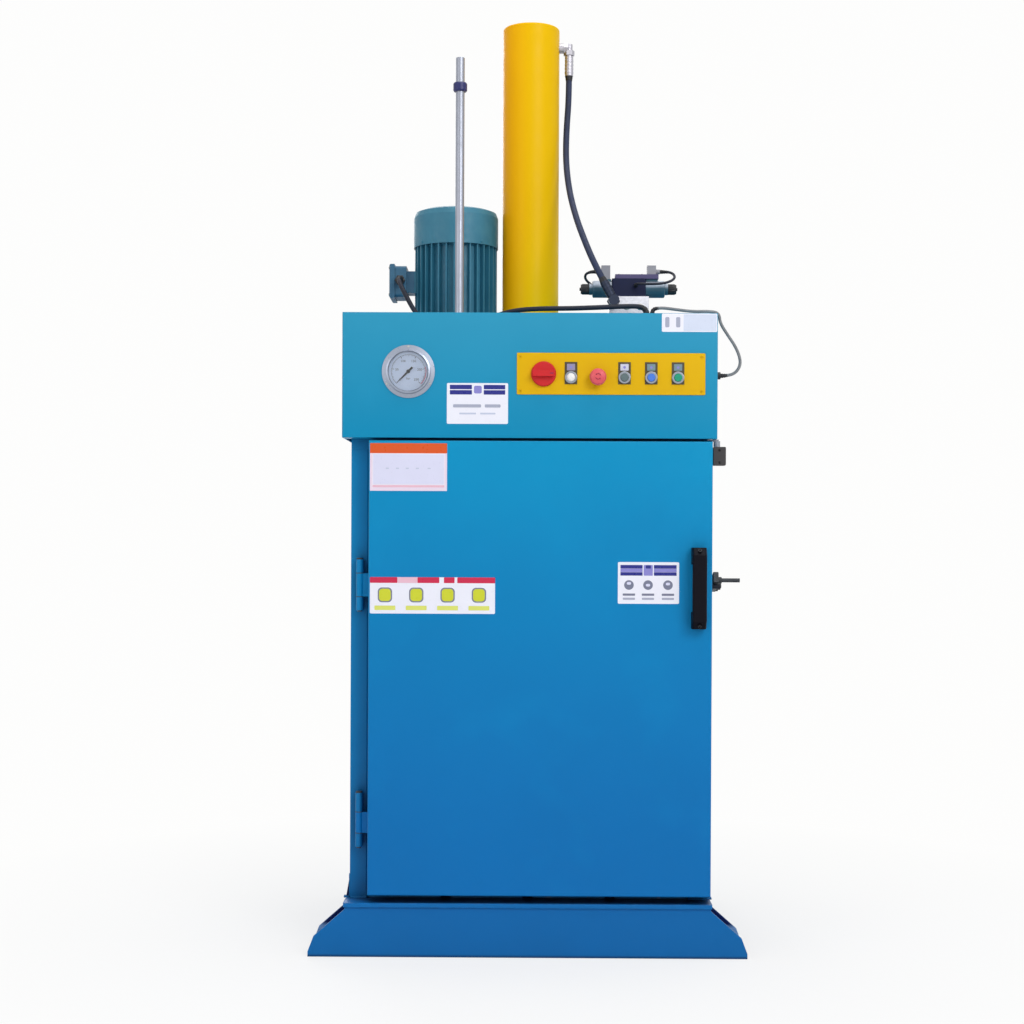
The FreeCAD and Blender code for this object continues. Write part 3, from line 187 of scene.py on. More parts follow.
class Look:
    """One procedural material, kept in LOOKS by name: a Principled shader and the nodes that feed it."""

    def __init__(self, name, colour, roughness, edge=None, shine=0.5, metal=0.0):
        self.material = LOOKS[name] = bpy.data.materials.new(name)
        self.material.use_nodes = True
        self.tree = self.material.node_tree
        self.shader = self.tree.nodes["Principled BSDF"]
        self.set("Base Color", colour)
        self.set("Roughness", roughness)
        self.set("Specular IOR Level", shine)
        self.set("Metallic", metal)
        self.place = self.node("ShaderNodeTexCoord").outputs["Object"]
        self.normal = None
        if edge:
            self.round_edges(edge)

    def node(self, kind, values=(), **settings):
        return add_node(self.tree, kind, values, **settings)

    def set(self, name, value):
        feed(self.tree, self.shader.inputs[name], value)

    def maths(self, operation, *values):
        return self.node("ShaderNodeMath", values, operation=operation).outputs[0]

    def times(self, first, second):
        return self.maths("MULTIPLY", first, second)

    def paint(self, share, first, second):
        """Colour the surface with two tones in some share."""
        self.set("Base Color", self.mix(share, first, second))

    def noise(self, scale, detail, stretch=(1, 1, 1)):
        place = self.node("ShaderNodeMapping", {"Vector": self.place, "Scale": stretch}).outputs[0]
        values = {"Vector": place, "Scale": scale, "Detail": detail}
        return self.node("ShaderNodeTexNoise", values).outputs["Fac"]

    def ramp(self, value, low, high, bottom=0.0, top=1.0):
        return self.node("ShaderNodeMapRange", (value, low, high, bottom, top)).outputs[0]

    def patches(self, scale, detail, low, high, most=1.0, least=0.0):
        """A share that wanders over the surface between least and most, as a noise does."""
        return self.ramp(self.noise(scale, detail), low, high, least, most)

    def mottle(self, scale, detail, low, high):
        """Let the roughness wander between two values."""
        self.set("Roughness", self.patches(scale, detail, 0.3, 0.7, high, low))

    def split(self, vector):
        return self.node("ShaderNodeSeparateXYZ", (vector,)).outputs

    def along(self, axis):
        return self.split(self.place)[axis]

    def facing(self):
        """How far the surface faces right, back and up."""
        return self.split(self.node("ShaderNodeNewGeometry").outputs["Normal"])

    def past(self, axis, level):
        """1 where the place along an axis lies past a level, else 0."""
        return self.maths("GREATER_THAN", self.along(axis), level)

    def within(self, axis, low, high):
        """1 where the place along an axis lies between two levels, else 0."""
        return self.maths("COMPARE", self.along(axis), (low + high) / 2, (high - low) / 2)

    def mix(self, share, first, second):
        return self.node("ShaderNodeMix", {0: share, 6: first, 7: second}, data_type="RGBA").outputs[2]

    def round_edges(self, radius):
        """Bend the light at sharp edges as a small radius does, and note how near an edge is."""
        self.normal = self.node("ShaderNodeBevel", {"Radius": radius}, samples=4).outputs[0]
        plain = self.node("ShaderNodeNewGeometry").outputs["Normal"]
        meet = self.node("ShaderNodeVectorMath", (self.normal, plain), operation="DOT_PRODUCT")
        self.edge = self.ramp(meet.outputs["Value"], 0.99, 0.80)

    def in_corners(self, reach, amount):
        """A share that grows to the amount where other surfaces stand close."""
        open_air = self.node("ShaderNodeAmbientOcclusion", {"Distance": reach}, samples=6)
        return self.ramp(open_air.outputs["AO"], 0.85, 0.25, 0.0, amount)

    def bump(self, height, distance, strength=0.5):
        values = {"Distance": distance, "Strength": strength, "Height": height}
        if self.normal is not None:
            values["Normal"] = self.normal
        self.normal = self.node("ShaderNodeBump", values).outputs[0]
        self.set("Normal", self.normal)

    def grain(self, scale, detail, depth, strength=0.5):
        """An even relief over the whole surface."""
        self.bump(self.noise(scale, detail), depth, strength)


def enamel(name, upper, lower, low, high, bend=1.0, shine=0.16, wear_and_highlight=0.35, corner_shade=0.0,
           foot=None, painted_left_shade=None, tip=None):
    """Sprayed paint on sheet steel: orange peel, slow random tone drift, painted light and shade that change
    with height, pale edges of worn paint and painted highlight, a little dust.

    Its tone goes from lower to upper between two levels, late where bend is over 1: this is painted
    light and shade. The number corner_shade is how dark the painted shade in its corners and hollows
    gets. Foot is the front plane of the foot beam, which is darker along its lowest few millimetres
    and has painted shade inside, with a painted highlight low down inside. The tone painted_left_shade
    is painted shade on what faces left. What stands past the tip on the right is blackened."""
    look = Look(name, lower, 0.37, 0.004 if foot else 0.0018, shine=shine)
    height = look.along("Z")
    # Painted light and shade: the tone changes with height from lower to upper.
    tone = look.mix(look.maths("POWER", look.ramp(height, low, high), bend), lower, upper)
    tone = look.mix(look.patches(2.4, 3, 0.40, 0.72, 0.16), tone, shade(lower, 0.72))
    tone = look.mix(look.patches(7.0, 4, 0.55, 0.80, 0.10), tone, shade(upper, 1.25))
    # Pale edges: worn paint, and a painted highlight along the edges, widest and strongest on the base.
    worn_and_highlit = look.times(look.times(look.edge, look.patches(60, 4, 0.42, 0.66)), wear_and_highlight)
    tone = look.mix(worn_and_highlit, tone, shade(upper, 1.6))
    facing = look.facing()
    dust = look.times(look.ramp(facing["Z"], 0.7, 0.98), look.patches(18, 5, 0.40, 0.75, 0.16, 0.02))
    tone = look.mix(dust, tone, srgb(150, 160, 168))
    # Painted shade on what faces left.
    if painted_left_shade:
        tone = look.mix(look.ramp(facing["X"], 0.05, -0.95), tone, painted_left_shade)
    # Painted shade in corners and hollows, where other surfaces stand close.
    corner = look.in_corners(0.07, corner_shade) if corner_shade else 0.0
    if foot:
        # On the foot beam the painted corner shade stays off its front face.
        corner = look.times(corner, look.ramp(look.along("Y"), foot + 0.001, foot + 0.004))
        # Painted shade on the inside face of the foot beam's channel above 60 mm, and a painted highlight
        # below 50 mm.
        inside = look.times(look.within("Y", foot + 0.02, foot + 0.2), look.ramp(facing["Y"], -0.5, -0.9))
        channel_shade_and_highlight = look.mix(look.ramp(height, 0.050, 0.060), srgb(120, 160, 210), srgb(2, 24, 84))
        tone = look.mix(inside, tone, channel_shade_and_highlight)
        # Darker along the foot beam's lowest few millimetres.
        tone = look.mix(look.ramp(height, 0.0075, 0.003, 0, 0.7), tone, srgb(10, 46, 84))
    # Lay the painted shade into corners and hollows in a dark navy.
    if corner_shade:
        tone = look.mix(corner, tone, srgb(6, 22, 52))
    if tip:
        tone = look.mix(look.past("X", tip), tone, srgb(30, 34, 44))
    look.set("Base Color", tone)
    look.mottle(30, 3, 0.32, 0.46)
    look.grain(5.0, 1, 0.0011, 0.55)
    look.grain(420, 1, 0.00016)


def rubbed_enamel(name, colour, stretch):
    """Paint that waste has rubbed through along one way, with bare steel and rust in the scratches."""
    look = Look(name, colour, 0.40, 0.0025, shine=0.3)
    scratch = look.ramp(look.noise(60, 6, stretch), 0.57, 0.70)
    patch = look.patches(4.5, 4, 0.46, 0.66)
    bare = look.maths("MAXIMUM", look.times(scratch, patch), look.times(look.edge, 0.7))
    steel = look.mix(look.patches(26, 5, 0.46, 0.66), srgb(150, 154, 158), srgb(112, 74, 48))
    tone = look.mix(look.patches(9, 4, 0.40, 0.75, 0.5), colour, shade(colour, 0.6))
    look.paint(look.times(bare, 0.6), tone, steel)
    look.set("Roughness", look.ramp(scratch, 0, 1, 0.36, 0.52))
    look.bump(scratch, 0.0003)


def cast_enamel(name, colour, pale):
    """Thicker paint over a sand-cast or pressed surface."""
    look = Look(name, colour, 0.42, 0.0012, shine=0.35)
    tone = look.mix(look.patches(26, 4, 0.35, 0.75, 0.4), colour, pale)
    look.paint(look.times(look.edge, 0.45), tone, shade(pale, 1.35))
    look.mottle(80, 2, 0.36, 0.52)
    look.grain(160, 3, 0.0004, 0.6)
    look.grain(700, 1, 0.00012)


def bare_metal(name, colour, roughness, stretch, streak, spot):
    """Ground, turned or plated steel, with streaks along one way and small dull spots."""
    look = Look(name, colour, roughness, 0.0006, metal=1.0)
    lines = look.noise(streak, 4, stretch)
    dull = look.patches(34, 5, 0.48, 0.78, spot)
    tone = look.mix(look.ramp(lines, 0.3, 0.7, 0, 0.3), colour, shade(colour, 0.72))
    look.paint(dull, tone, shade(colour, 0.45))
    rough = look.ramp(lines, 0.3, 0.7, roughness - 0.05, roughness + 0.08)
    look.set("Roughness", look.maths("ADD", rough, dull))
    look.bump(lines, 0.00008, 0.35)


def zinc_plate(name, colour, roughness):
    """Zinc plating with its faint spangle."""
    look = Look(name, colour, roughness, 0.0006, metal=1.0)
    spangle = look.node("ShaderNodeTexVoronoi", {"Vector": look.place, "Scale": 260})
    fleck = look.split(spangle.outputs["Color"])["X"]
    look.paint(look.ramp(fleck, 0, 1, 0, 0.35), colour, shade(colour, 0.68))
    look.set("Roughness", look.ramp(fleck, 0, 1, roughness - 0.08, roughness + 0.12))
    look.grain(500, 2, 0.00008, 0.4)


def plastic(name, colour, roughness, depth=0.00012, scale=900, shine=0.4):
    """Moulded plastic with a fine skin and a trace of handling."""
    look = Look(name, colour, roughness, 0.0008, shine=shine)
    handled = shade(colour, 1.5 if max(colour[:3]) < 0.1 else 0.86)
    tone = look.mix(look.patches(22, 4, 0.35, 0.8, 0.35), colour, handled)
    look.paint(look.times(look.edge, 0.2), tone, shade(colour, 1.8))
    look.mottle(60, 3, roughness - 0.07, roughness + 0.08)
    look.grain(scale, 2, depth)


def rubber(name, colour):
    """Extruded rubber or PVC sheath: matt, faintly ridged, dusty in places."""
    look = Look(name, colour, 0.55, shine=0.35)
    look.paint(look.patches(45, 5, 0.42, 0.8, 0.28), colour, shade(colour, 2.6))
    look.mottle(90, 2, 0.47, 0.65)
    look.grain(1100, 2, 0.0002, 0.6)


def vinyl(name, colour, stain=0.10):
    """A printed vinyl field under clear film."""
    look = Look(name, colour, 0.32, shine=0.35)
    look.paint(look.patches(38, 4, 0.35, 0.8, stain), colour, shade(colour, 0.78))
    look.mottle(120, 2, 0.26, 0.4)
    look.grain(90, 2, 0.00008, 0.4)


def clear_glass(name):
    look = Look(name, (0.96, 0.98, 1.0, 1), 0.02)
    look.set("Transmission Weight", 1.0)
    look.set("IOR", 1.45)
    look.grain(14, 1, 0.00003, 0.3)


def two_tone(name, level, lower, upper, metal=0.0):
    """A fine-grained finish with one colour below a level and another above it."""
    look = Look(name, lower, 0.45, 0.0008, metal=metal)
    tone = look.mix(look.past("Z", level), lower, upper)
    dull = look.node("ShaderNodeHueSaturation", {"Value": 0.7, "Color": tone})
    look.paint(look.patches(60, 4, 0.35, 0.8, 0.35), tone, dull.outputs[0])
    look.mottle(90, 2, 0.36, 0.52)
    look.grain(600, 2, 0.00015)


def valve_paint(name, level, colour, cover):
    """Dark cast body with a lighter moulded cover above one level."""
    look = Look(name, colour, 0.45, 0.0008, shine=0.2)
    cloud = look.patches(60, 4, 0.35, 0.8, 0.3)
    body = look.mix(cloud, colour, shade(colour, 1.6))
    look.paint(look.past("Z", level), body, look.mix(cloud, cover, shade(cover, 0.8)))
    look.grain(600, 2, 0.0002)


def coil_paint(name, middle, reach, colour, upper, cap):
    """Coils with a painted highlight on their upper side, and black caps past a distance from the valve's
    middle.
    """
    look = Look(name, colour, 0.4, 0.0008, shine=0.4)
    # Painted highlight: the coils' upward-facing side is painted pale.
    coil_with_highlight = look.mix(look.ramp(look.facing()["Z"], 0.0, 0.45), colour, upper)
    coil_with_highlight = look.mix(look.patches(70, 4, 0.35, 0.8, 0.35), coil_with_highlight, shade(colour, 0.6))
    look.paint(look.within("X", middle - reach, middle + reach), cap, coil_with_highlight)
    look.grain(500, 2, 0.0002)


PLASTICS = {
    # name: red, green, blue and roughness
    "black_plastic": (22, 23, 28, 0.42),
    "collar_plastic": (34, 38, 96, 0.40),
    "plug_plastic": (150, 150, 158, 0.50),
    "guide_nylon": (220, 216, 200, 0.50),
    "legend_plastic": (70, 62, 44, 0.50),
    "switch_red": (206, 22, 30, 0.34),
    "stop_red": (224, 88, 96, 0.34),
    "cap_blue": (72, 124, 216, 0.34),
    "cap_green": (16, 150, 116, 0.34),
    "cap_slate": (92, 110, 112, 0.34),
}

PRINTS = {
    "dial_print": (44, 50, 64),
    "label_white": (240, 240, 250),
    "label_cool": (214, 222, 240),
    "label_mist": (222, 222, 244),
    "label_faint": (196, 202, 224),
    "label_soft": (168, 172, 192),
    "label_grey": (120, 124, 146),
    "label_blue": (40, 44, 132),
    "label_violet": (140, 136, 206),
    "label_orange": (222, 88, 32),
    "label_blush": (238, 220, 236),
    "label_pink": (236, 190, 206),
    "label_red": (206, 40, 78),
    "label_wine": (150, 34, 66),
    "label_yellow": (208, 212, 50),
    "label_lemon": (222, 226, 110),
    "window_violet": (150, 142, 172),
    "window_pale": (206, 206, 224),
    "window_teal": (118, 142, 150),
}


def make_looks():
    """Every material that the pieces ask for by name."""
    base = srgb(9, 106, 174)
    # In each enamel the change from lower to upper tone with height is painted light and shade: most are
    # painted lighter high up, and the yellow cylinder is painted lighter at its foot.
    enamel("head_enamel", srgb(50, 154, 190), srgb(8, 140, 184), 1.25, 1.55)
    enamel("door_enamel", srgb(4, 148, 196), srgb(2, 111, 180), 0.15, 1.24, 1.7,
           tip=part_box("door_shell")[1].x - 0.0215)
    enamel("frame_enamel", srgb(14, 142, 200), srgb(8, 108, 168), 0.13, 1.22, corner_shade=0.5)
    enamel("base_enamel", base, shade(base, 0.9), 0.0, 0.13, wear_and_highlight=0.9, corner_shade=0.95,
           foot=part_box("front_foot_beam")[0].y)
    # The yellow cylinder's left side gets painted shade in a deeper orange.
    enamel("yellow_enamel", srgb(237, 187, 0), srgb(255, 212, 2), 1.5, 1.85, 0.6, 0.10, 0.1,
           painted_left_shade=srgb(255, 178, 0))
    enamel("panel_enamel", srgb(230, 182, 3), srgb(226, 178, 3), 1.35, 1.45, wear_and_highlight=0.1)
    enamel("tank_enamel", srgb(96, 104, 110), srgb(88, 96, 102), 1.3, 1.5)
    rubbed_enamel("rubbed_floor", srgb(12, 104, 160), (1, 0.08, 1))
    rubbed_enamel("rubbed_liner", srgb(10, 118, 178), (1, 1, 0.08))
    cast_enamel("motor_enamel", srgb(50, 118, 142), srgb(66, 136, 160))
    cast_enamel("terminal_box_enamel", srgb(54, 100, 128), srgb(78, 124, 148))
    cast_enamel("fan_cover_enamel", srgb(54, 120, 144), srgb(80, 144, 162))
    cast_enamel("pump_iron", srgb(70, 72, 74), srgb(96, 98, 100))
    cast_enamel("lever_finish", srgb(44, 48, 52), srgb(82, 88, 96))
    bare_metal("ground_steel", srgb(176, 180, 184), 0.34, (0.05, 1, 1), 300, 0.18)
    bare_metal("drawn_rod", srgb(158, 162, 174), 0.40, (1, 1, 0.02), 500, 0.10)
    bare_metal("hard_chrome", srgb(214, 216, 220), 0.12, (1, 1, 0.05), 400, 0.05)
    bare_metal("turned_stainless", srgb(160, 168, 184), 0.30, (1, 0.1, 1), 260, 0.10)
    bare_metal("bezel_metal", srgb(150, 156, 166), 0.28, (1, 0.1, 1), 300, 0.08)
    zinc_plate("zinc_plating", srgb(196, 194, 186), 0.34)
    zinc_plate("manifold_alloy", srgb(206, 206, 214), 0.42)
    two_tone("hose_end_finish", 1.8, srgb(50, 56, 72), srgb(184, 182, 190), 0.85)
    two_tone("switch_plastic", 1.2288, srgb(46, 42, 44), srgb(150, 156, 166))
    plastic("handle_plastic", srgb(4, 3, 14), 0.50, 0.00022, 700, 0.12)
    plastic("lamp_lens", srgb(240, 240, 238), 0.22, shine=0.6)
    for name, (*tone, roughness) in PLASTICS.items():
        plastic(name, srgb(*tone), roughness)
    rubber("hose_cover", srgb(32, 42, 70))
    rubber("cable_sheath", srgb(24, 28, 42))
    rubber("grey_sheath", srgb(130, 132, 134))
    clear_glass("window_glass")
    vinyl("dial_face", srgb(198, 210, 232), 0.06)
    for name, tone in PRINTS.items():
        vinyl(name, srgb(*tone))
    valve_paint("valve_finish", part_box("valve_body")[1].z - 0.011, srgb(12, 22, 56), srgb(90, 84, 122))
    coil_paint("coil_finish", centre("solenoids")[0], 0.0985, srgb(52, 94, 112), srgb(196, 206, 220),
               srgb(34, 34, 38))


NODE_LOOKS = {
    "base_enamel": "front_foot_beam rear_foot_beam base_runners base_deck",
    "frame_enamel": "left_wall right_wall back_wall crosshead frame_knuckles",
    "rubbed_floor": "floor_bars",
    "rubbed_liner": "door_liner",
    "door_enamel": "door_shell door_knuckles",
    "head_enamel": "head_cover head_top_plate head_rear_panel",
    "yellow_enamel": "cylinder_tube",
    "panel_enamel": "panel_plate",
    "motor_enamel": "motor_frame",
    "terminal_box_enamel": "terminal_box",
    "fan_cover_enamel": "fan_cover",
    "ground_steel": "cylinder_flange piston platen motor_shaft",
    "drawn_rod": "indicator_rod",
    "hard_chrome": "piston_rod",
    "bezel_metal": "button_bezels",
    "turned_stainless": "gauge_case",
    "hose_end_finish": "hose_ends",
    "manifold_alloy": "manifold_block",
    "tank_enamel": "oil_tank",
    "pump_iron": "pump",
    "black_plastic": "motor_fan contact_blocks gauge_needle cable_glands",
    "handle_plastic": "door_handle",
    "switch_plastic": "interlock_switch",
    "collar_plastic": "rod_collar",
    "plug_plastic": "solenoid_plugs",
    "guide_nylon": "rod_guide_bush",
    "switch_red": "main_switch_knob",
    "stop_red": "estop_button",
    "cap_slate": "button_black",
    "cap_blue": "button_blue",
    "cap_green": "button_green",
    "lamp_lens": "pilot_lamp",
    "legend_plastic": "legend_plates",
    "lever_finish": "latch_hook hinge_pins",
    "window_glass": "gauge_glass",
    "dial_face": "gauge_dial",
    "valve_finish": "valve_body",
    "coil_finish": "solenoids",
}


def dress_nodes():
    for look, names in NODE_LOOKS.items():
        for name in names.split():
            for slot in nodes[name].material_slots:
                slot.material = LOOKS[look]


# ---- forms

FACINGS = {
    "up": (0, 0, 1),
    "front": (0, -1, 0),
    "back": (0, 1, 0),
    "left": (-1, 0, 0),
    "right": (1, 0, 0),
}


def centre(node):
    """The middle of a node's box, as x, y and z."""
    return [(low + high) / 2 for low, high in zip(*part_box(node))]


def spaced(low, high, inset, count):
    """Levels at an even pitch between two ends, less an inset at each."""
    return [low + inset + (high - low - 2 * inset) * step / (count - 1) for step in range(count)]


def at(x, y, z, facing="up"):
    """A place whose own Z axis points some way, given by name or as a vector."""
    way = Vector(FACINGS.get(facing, facing))
    return Matrix.Translation((x, y, z)) @ way.to_track_quat("Z", "Y").to_matrix().to_4x4()


def hexagon(flat):
    """The reach of a hexagon at an angle; flat is half its width across flats."""
    half = math.pi / 6
    return lambda angle: flat / math.cos(angle % (2 * half) - half)


def cross(length, width):
    """The reach of a plus sign at an angle."""

    def reach(angle):
        upright = width / max(1e-6, abs(math.cos(angle)))
        level = width / max(1e-6, abs(math.sin(angle)))
        return max(min(length, upright), min(length, level))

    return reach


def ring(reach, height, sides=24):
    """Points round the Z axis; reach is a radius, or gives one for each angle."""
    points = []
    for step in range(sides):
        angle = 2 * math.pi * step / sides
        radius = reach(angle) if callable(reach) else reach
        points.append(Vector((radius * math.cos(angle), radius * math.sin(angle), height)))
    return points


def skin(form, rings, spot=None, index=0):
    """Faces between rings of points, and one over each end."""
    spot = spot or Matrix.Identity(4)
    rows = [[form.verts.new(spot @ point) for point in row] for row in rings]
    faces = [form.faces.new(list(reversed(rows[0]))), form.faces.new(rows[-1])]
    for low, high in zip(rows, rows[1:]):
        for step, corner in enumerate(low):
            after = (step + 1) % len(low)
            faces.append(form.faces.new((corner, low[after], high[after], high[step])))
    for face in faces:
        face.material_index = index


def turn(form, spot, *profile, sides=24):
    """A turned form on a place's axis; its profile is pairs of a reach and a height."""
    skin(form, [ring(reach, height, sides) for reach, height in profile], spot)


def settle(name, form, looks, body="frame", soft=True):
    """Turn a form into a piece that rides on a body and takes the named looks."""
    bmesh.ops.recalc_face_normals(form, faces=form.faces)
    mesh = bpy.data.meshes.new(name)
    form.to_mesh(mesh)
    form.free()
    piece = bpy.data.objects.new(name, mesh)
    bpy.context.scene.collection.objects.link(piece)
    for look in looks.split():
        mesh.materials.append(LOOKS[look])
    if soft:
        mesh.shade_smooth()
        mesh.set_sharp_from_angle(angle=math.radians(32))
    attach(piece, body)
    return piece


def hex_nut(form, spot, flat, low, high, crown, top):
    """A hexagon from one height to another, with a small round crown."""
    turn(form, spot, (hexagon(flat), low), (hexagon(flat), high), (crown, top))


def hex_bolt(form, spot, size):
    """Washer and hexagon head for a thread of that diameter."""
    turn(form, spot, (1.1 * size, 0), (1.1 * size, 0.16 * size), (1.02 * size, 0.2 * size))
    flat = 0.82 * size
    turn(form, spot, (hexagon(flat), 0.18 * size), (hexagon(flat), 0.72 * size),
         (flat * 0.98, 0.82 * size), (flat * 0.5, 0.82 * size))


def cap_screw(form, spot, size):
    """Cylinder head with a hexagon socket."""
    head = 0.8 * size
    turn(form, spot, (head, 0), (head, 0.85 * size), (head * 0.92, 0.95 * size),
         (hexagon(0.45 * size), 0.95 * size), (hexagon(0.42 * size), 0.45 * size))


def pan_screw(form, spot, size):
    """Low round head with a cross recess."""
    turn(form, spot, (size, 0), (size * 0.96, 0.22 * size), (size * 0.8, 0.45 * size),
         (cross(0.55 * size, 0.13 * size), 0.52 * size), (cross(0.42 * size, 0.09 * size), 0.22 * size),
         sides=32)


def sunk_screw(form, spot, size):
    """Countersunk head, flush with its plate."""
    turn(form, spot, (size, 0), (size, 0.0004), (cross(0.6 * size, 0.15 * size), 0.0005),
         (cross(0.45 * size, 0.1 * size), 0.0001), sides=32)


def weld(form, start, end, size):
    """A bead of uneven scales along a seam."""
    start, end = Vector(start), Vector(end)
    run = end - start
    count = max(3, round(run.length / (0.9 * size)))
    turned = run.to_track_quat("Z", "Y").to_matrix().to_4x4()
    rings = []
    for step in range(count + 1):
        swell = size * (0.92 + 0.16 * (step % 2) + chance.uniform(-0.07, 0.07))
        spot = Matrix.Translation(start + run * (step / count)) @ turned
        rings.append([spot @ point for point in ring(swell, 0, 8)])
    skin(form, rings)


def points_round(x, z, radius, first, last, steps):
    """Places on a circle, as (x, z) pairs, between two angles in degrees from the right."""
    angles = [math.radians(first + (last - first) * step / steps) for step in range(steps + 1)]
    return [(x + radius * math.cos(angle), z + radius * math.sin(angle)) for angle in angles]


def rounded(left, low, right, high, radius, steps=4):
    """The outline of a rectangle with round corners, as (x, z) pairs."""
    corners = [(right, high, 0), (left, high, 90), (left, low, 180), (right, low, 270)]
    outline = []
    for x, z, first in corners:
        x += radius if x == left else -radius
        z += radius if z == low else -radius
        outline += points_round(x, z, radius, first, first + 90, steps)
    return outline


def round_field(x, z, radius, steps=28):
    """The outline of a disc, as (x, z) pairs."""
    return points_round(x, z, radius, 0, 360, steps)[:-1]


def front_plate(form, outline, rear, thickness, index=0):
    """A flat plate that faces the front, from the plane y = rear."""
    rings = [[Vector((x, y, z)) for x, z in outline] for y in (rear, rear - thickness)]
    skin(form, rings, index=index)


# ---- cords

HOSE_ROUTE = [
    (0.098, 0, 2.212), (0.098, 0, 2.152), (0.092, -0.008, 2.072), (0.090, -0.034, 1.985),
    (0.098, -0.084, 1.897), (0.115, -0.146, 1.815), (0.138, -0.206, 1.740), (0.159, -0.240, 1.684),
    (0.182, -0.247, 1.640),
]

MOTOR_LEAD_ROUTE = [
    (-0.337, -0.050, 1.674), (-0.337, -0.068, 1.674), (-0.336, -0.088, 1.667), (-0.331, -0.105, 1.653),
    (-0.321, -0.115, 1.633), (-0.310, -0.119, 1.612), (-0.299, -0.121, 1.592), (-0.286, -0.122, 1.573),
    (-0.268, -0.124, 1.560), (-0.246, -0.126, 1.554), (-0.214, -0.127, 1.5535), (-0.162, -0.130, 1.5545),
    (-0.100, -0.160, 1.563), (-0.040, -0.206, 1.575), (0.025, -0.246, 1.574), (0.100, -0.268, 1.5715),
    (0.165, -0.276, 1.573), (0.216, -0.278, 1.575), (0.248, -0.278, 1.576), (0.267, -0.278, 1.5755),
    (0.279, -0.278, 1.571), (0.285, -0.278, 1.5625), (0.285, -0.278, 1.552),
]

SIDE_LEAD_ROUTE = [
    (0.296, -0.318, 1.551), (0.296, -0.318, 1.559), (0.302, -0.318, 1.565), (0.321, -0.319, 1.567),
    (0.356, -0.322, 1.562), (0.396, -0.325, 1.557), (0.434, -0.326, 1.558), (0.457, -0.325, 1.554),
    (0.460, -0.322, 1.530), (0.478, -0.318, 1.503), (0.501, -0.310, 1.472), (0.514, -0.302, 1.438),
    (0.505, -0.297, 1.415), (0.485, -0.295, 1.405), (0.464, -0.295, 1.405),
]

LEFT_LEAD_ROUTE = [
    (0.167, -0.190, 1.674), (0.157, -0.190, 1.674), (0.147, -0.186, 1.673), (0.139, -0.177, 1.670),
    (0.137, -0.164, 1.664), (0.142, -0.150, 1.657), (0.154, -0.139, 1.649), (0.170, -0.131, 1.642),
    (0.187, -0.126, 1.637), (0.204, -0.125, 1.634), (0.216, -0.131, 1.633), (0.222, -0.143, 1.633),
    (0.222, -0.158, 1.633),
]

RIGHT_LEAD_ROUTE = [
    (0.323, -0.190, 1.674), (0.336, -0.190, 1.674), (0.350, -0.195, 1.672), (0.358, -0.207, 1.664),
    (0.358, -0.221, 1.654), (0.349, -0.234, 1.645), (0.332, -0.244, 1.638), (0.311, -0.251, 1.635),
    (0.291, -0.255, 1.634), (0.275, -0.252, 1.635), (0.2645, -0.243, 1.636), (0.262, -0.231, 1.636),
    (0.262, -0.222, 1.636),
]

CORDS = {
    # name: node, route, diameter, true length, look, slot, stiffness, lay
    "pressure_hose": ("cap_hose", HOSE_ROUTE, 0.016, 0.653, "hose_cover", "black_rubber", "stiff",
                      "hanging"),
    "motor_lead": ("motor_cable", MOTOR_LEAD_ROUTE, 0.012, 0.802, "cable_sheath", "black_rubber",
                   "medium", "loose"),
    "side_lead": ("side_cable", SIDE_LEAD_ROUTE, 0.0075, 0.370, "grey_sheath", "grey_rubber",
                  "medium", "loose"),
    "left_coil_lead": ("solenoid_lead_left", LEFT_LEAD_ROUTE, 0.0065, 0.177, "cable_sheath",
                       "black_rubber", "limp", "loose"),
    "right_coil_lead": ("solenoid_lead_right", RIGHT_LEAD_ROUTE, 0.0065, 0.192, "cable_sheath",
                        "black_rubber", "limp", "loose"),
}


def make_line(name, route, thickness=0.0):
    """A smooth line with the route's points as its control points."""
    data = bpy.data.curves.new(name, "CURVE")
    data.dimensions = "3D"
    data.resolution_u = 10
    data.bevel_depth = thickness / 2
    data.bevel_resolution = 5
    data.use_fill_caps = thickness > 0
    spline = data.splines.new("NURBS")
    spline.points.add(len(route) - 1)
    for point, place in zip(spline.points, route):
        point.co = (*place, 1)
    spline.use_endpoint_u = True
    spline.order_u = 3
    line = bpy.data.objects.new(name, data)
    bpy.context.scene.collection.objects.link(line)
    return line


def points_along(route):
    """The places that a route's smooth line passes, read from a line with no thickness."""
    line = make_line("measure", route)
    bpy.context.view_layer.update()
    mesh = bpy.data.meshes.new_from_object(line)
    places = [vertex.co.copy() for vertex in mesh.vertices]
    bpy.data.objects.remove(line)
    bpy.data.meshes.remove(mesh)
    return places


def walk(places, distance):
    """The place at a distance along a line of places, and the way it runs there."""
    for near, far in zip(places, places[1:]):
        step = (far - near).length
        if distance <= step:
            return near + (far - near) * (distance / step), (far - near).normalized()
        distance -= step
    return places[-1], (places[-1] - places[-2]).normalized()


def sleeve(form, places, length, thick, thin, grooves=0):
    """A sleeve on a cord's end that tapers from thick to thin, with grooves round it."""
    rings = []
    count = max(6, grooves * 4)
    for step in range(count + 1):
        share = step / count
        place, way = walk(places, length * share)
        radius = thick + (thin - thick) * share
        if grooves and step % 4 == 2:
            radius -= 0.0009
        spot = Matrix.Translation(place) @ way.to_track_quat("Z", "Y").to_matrix().to_4x4()
        rings.append([spot @ point for point in ring(radius, 0, 20)])
    skin(form, rings)


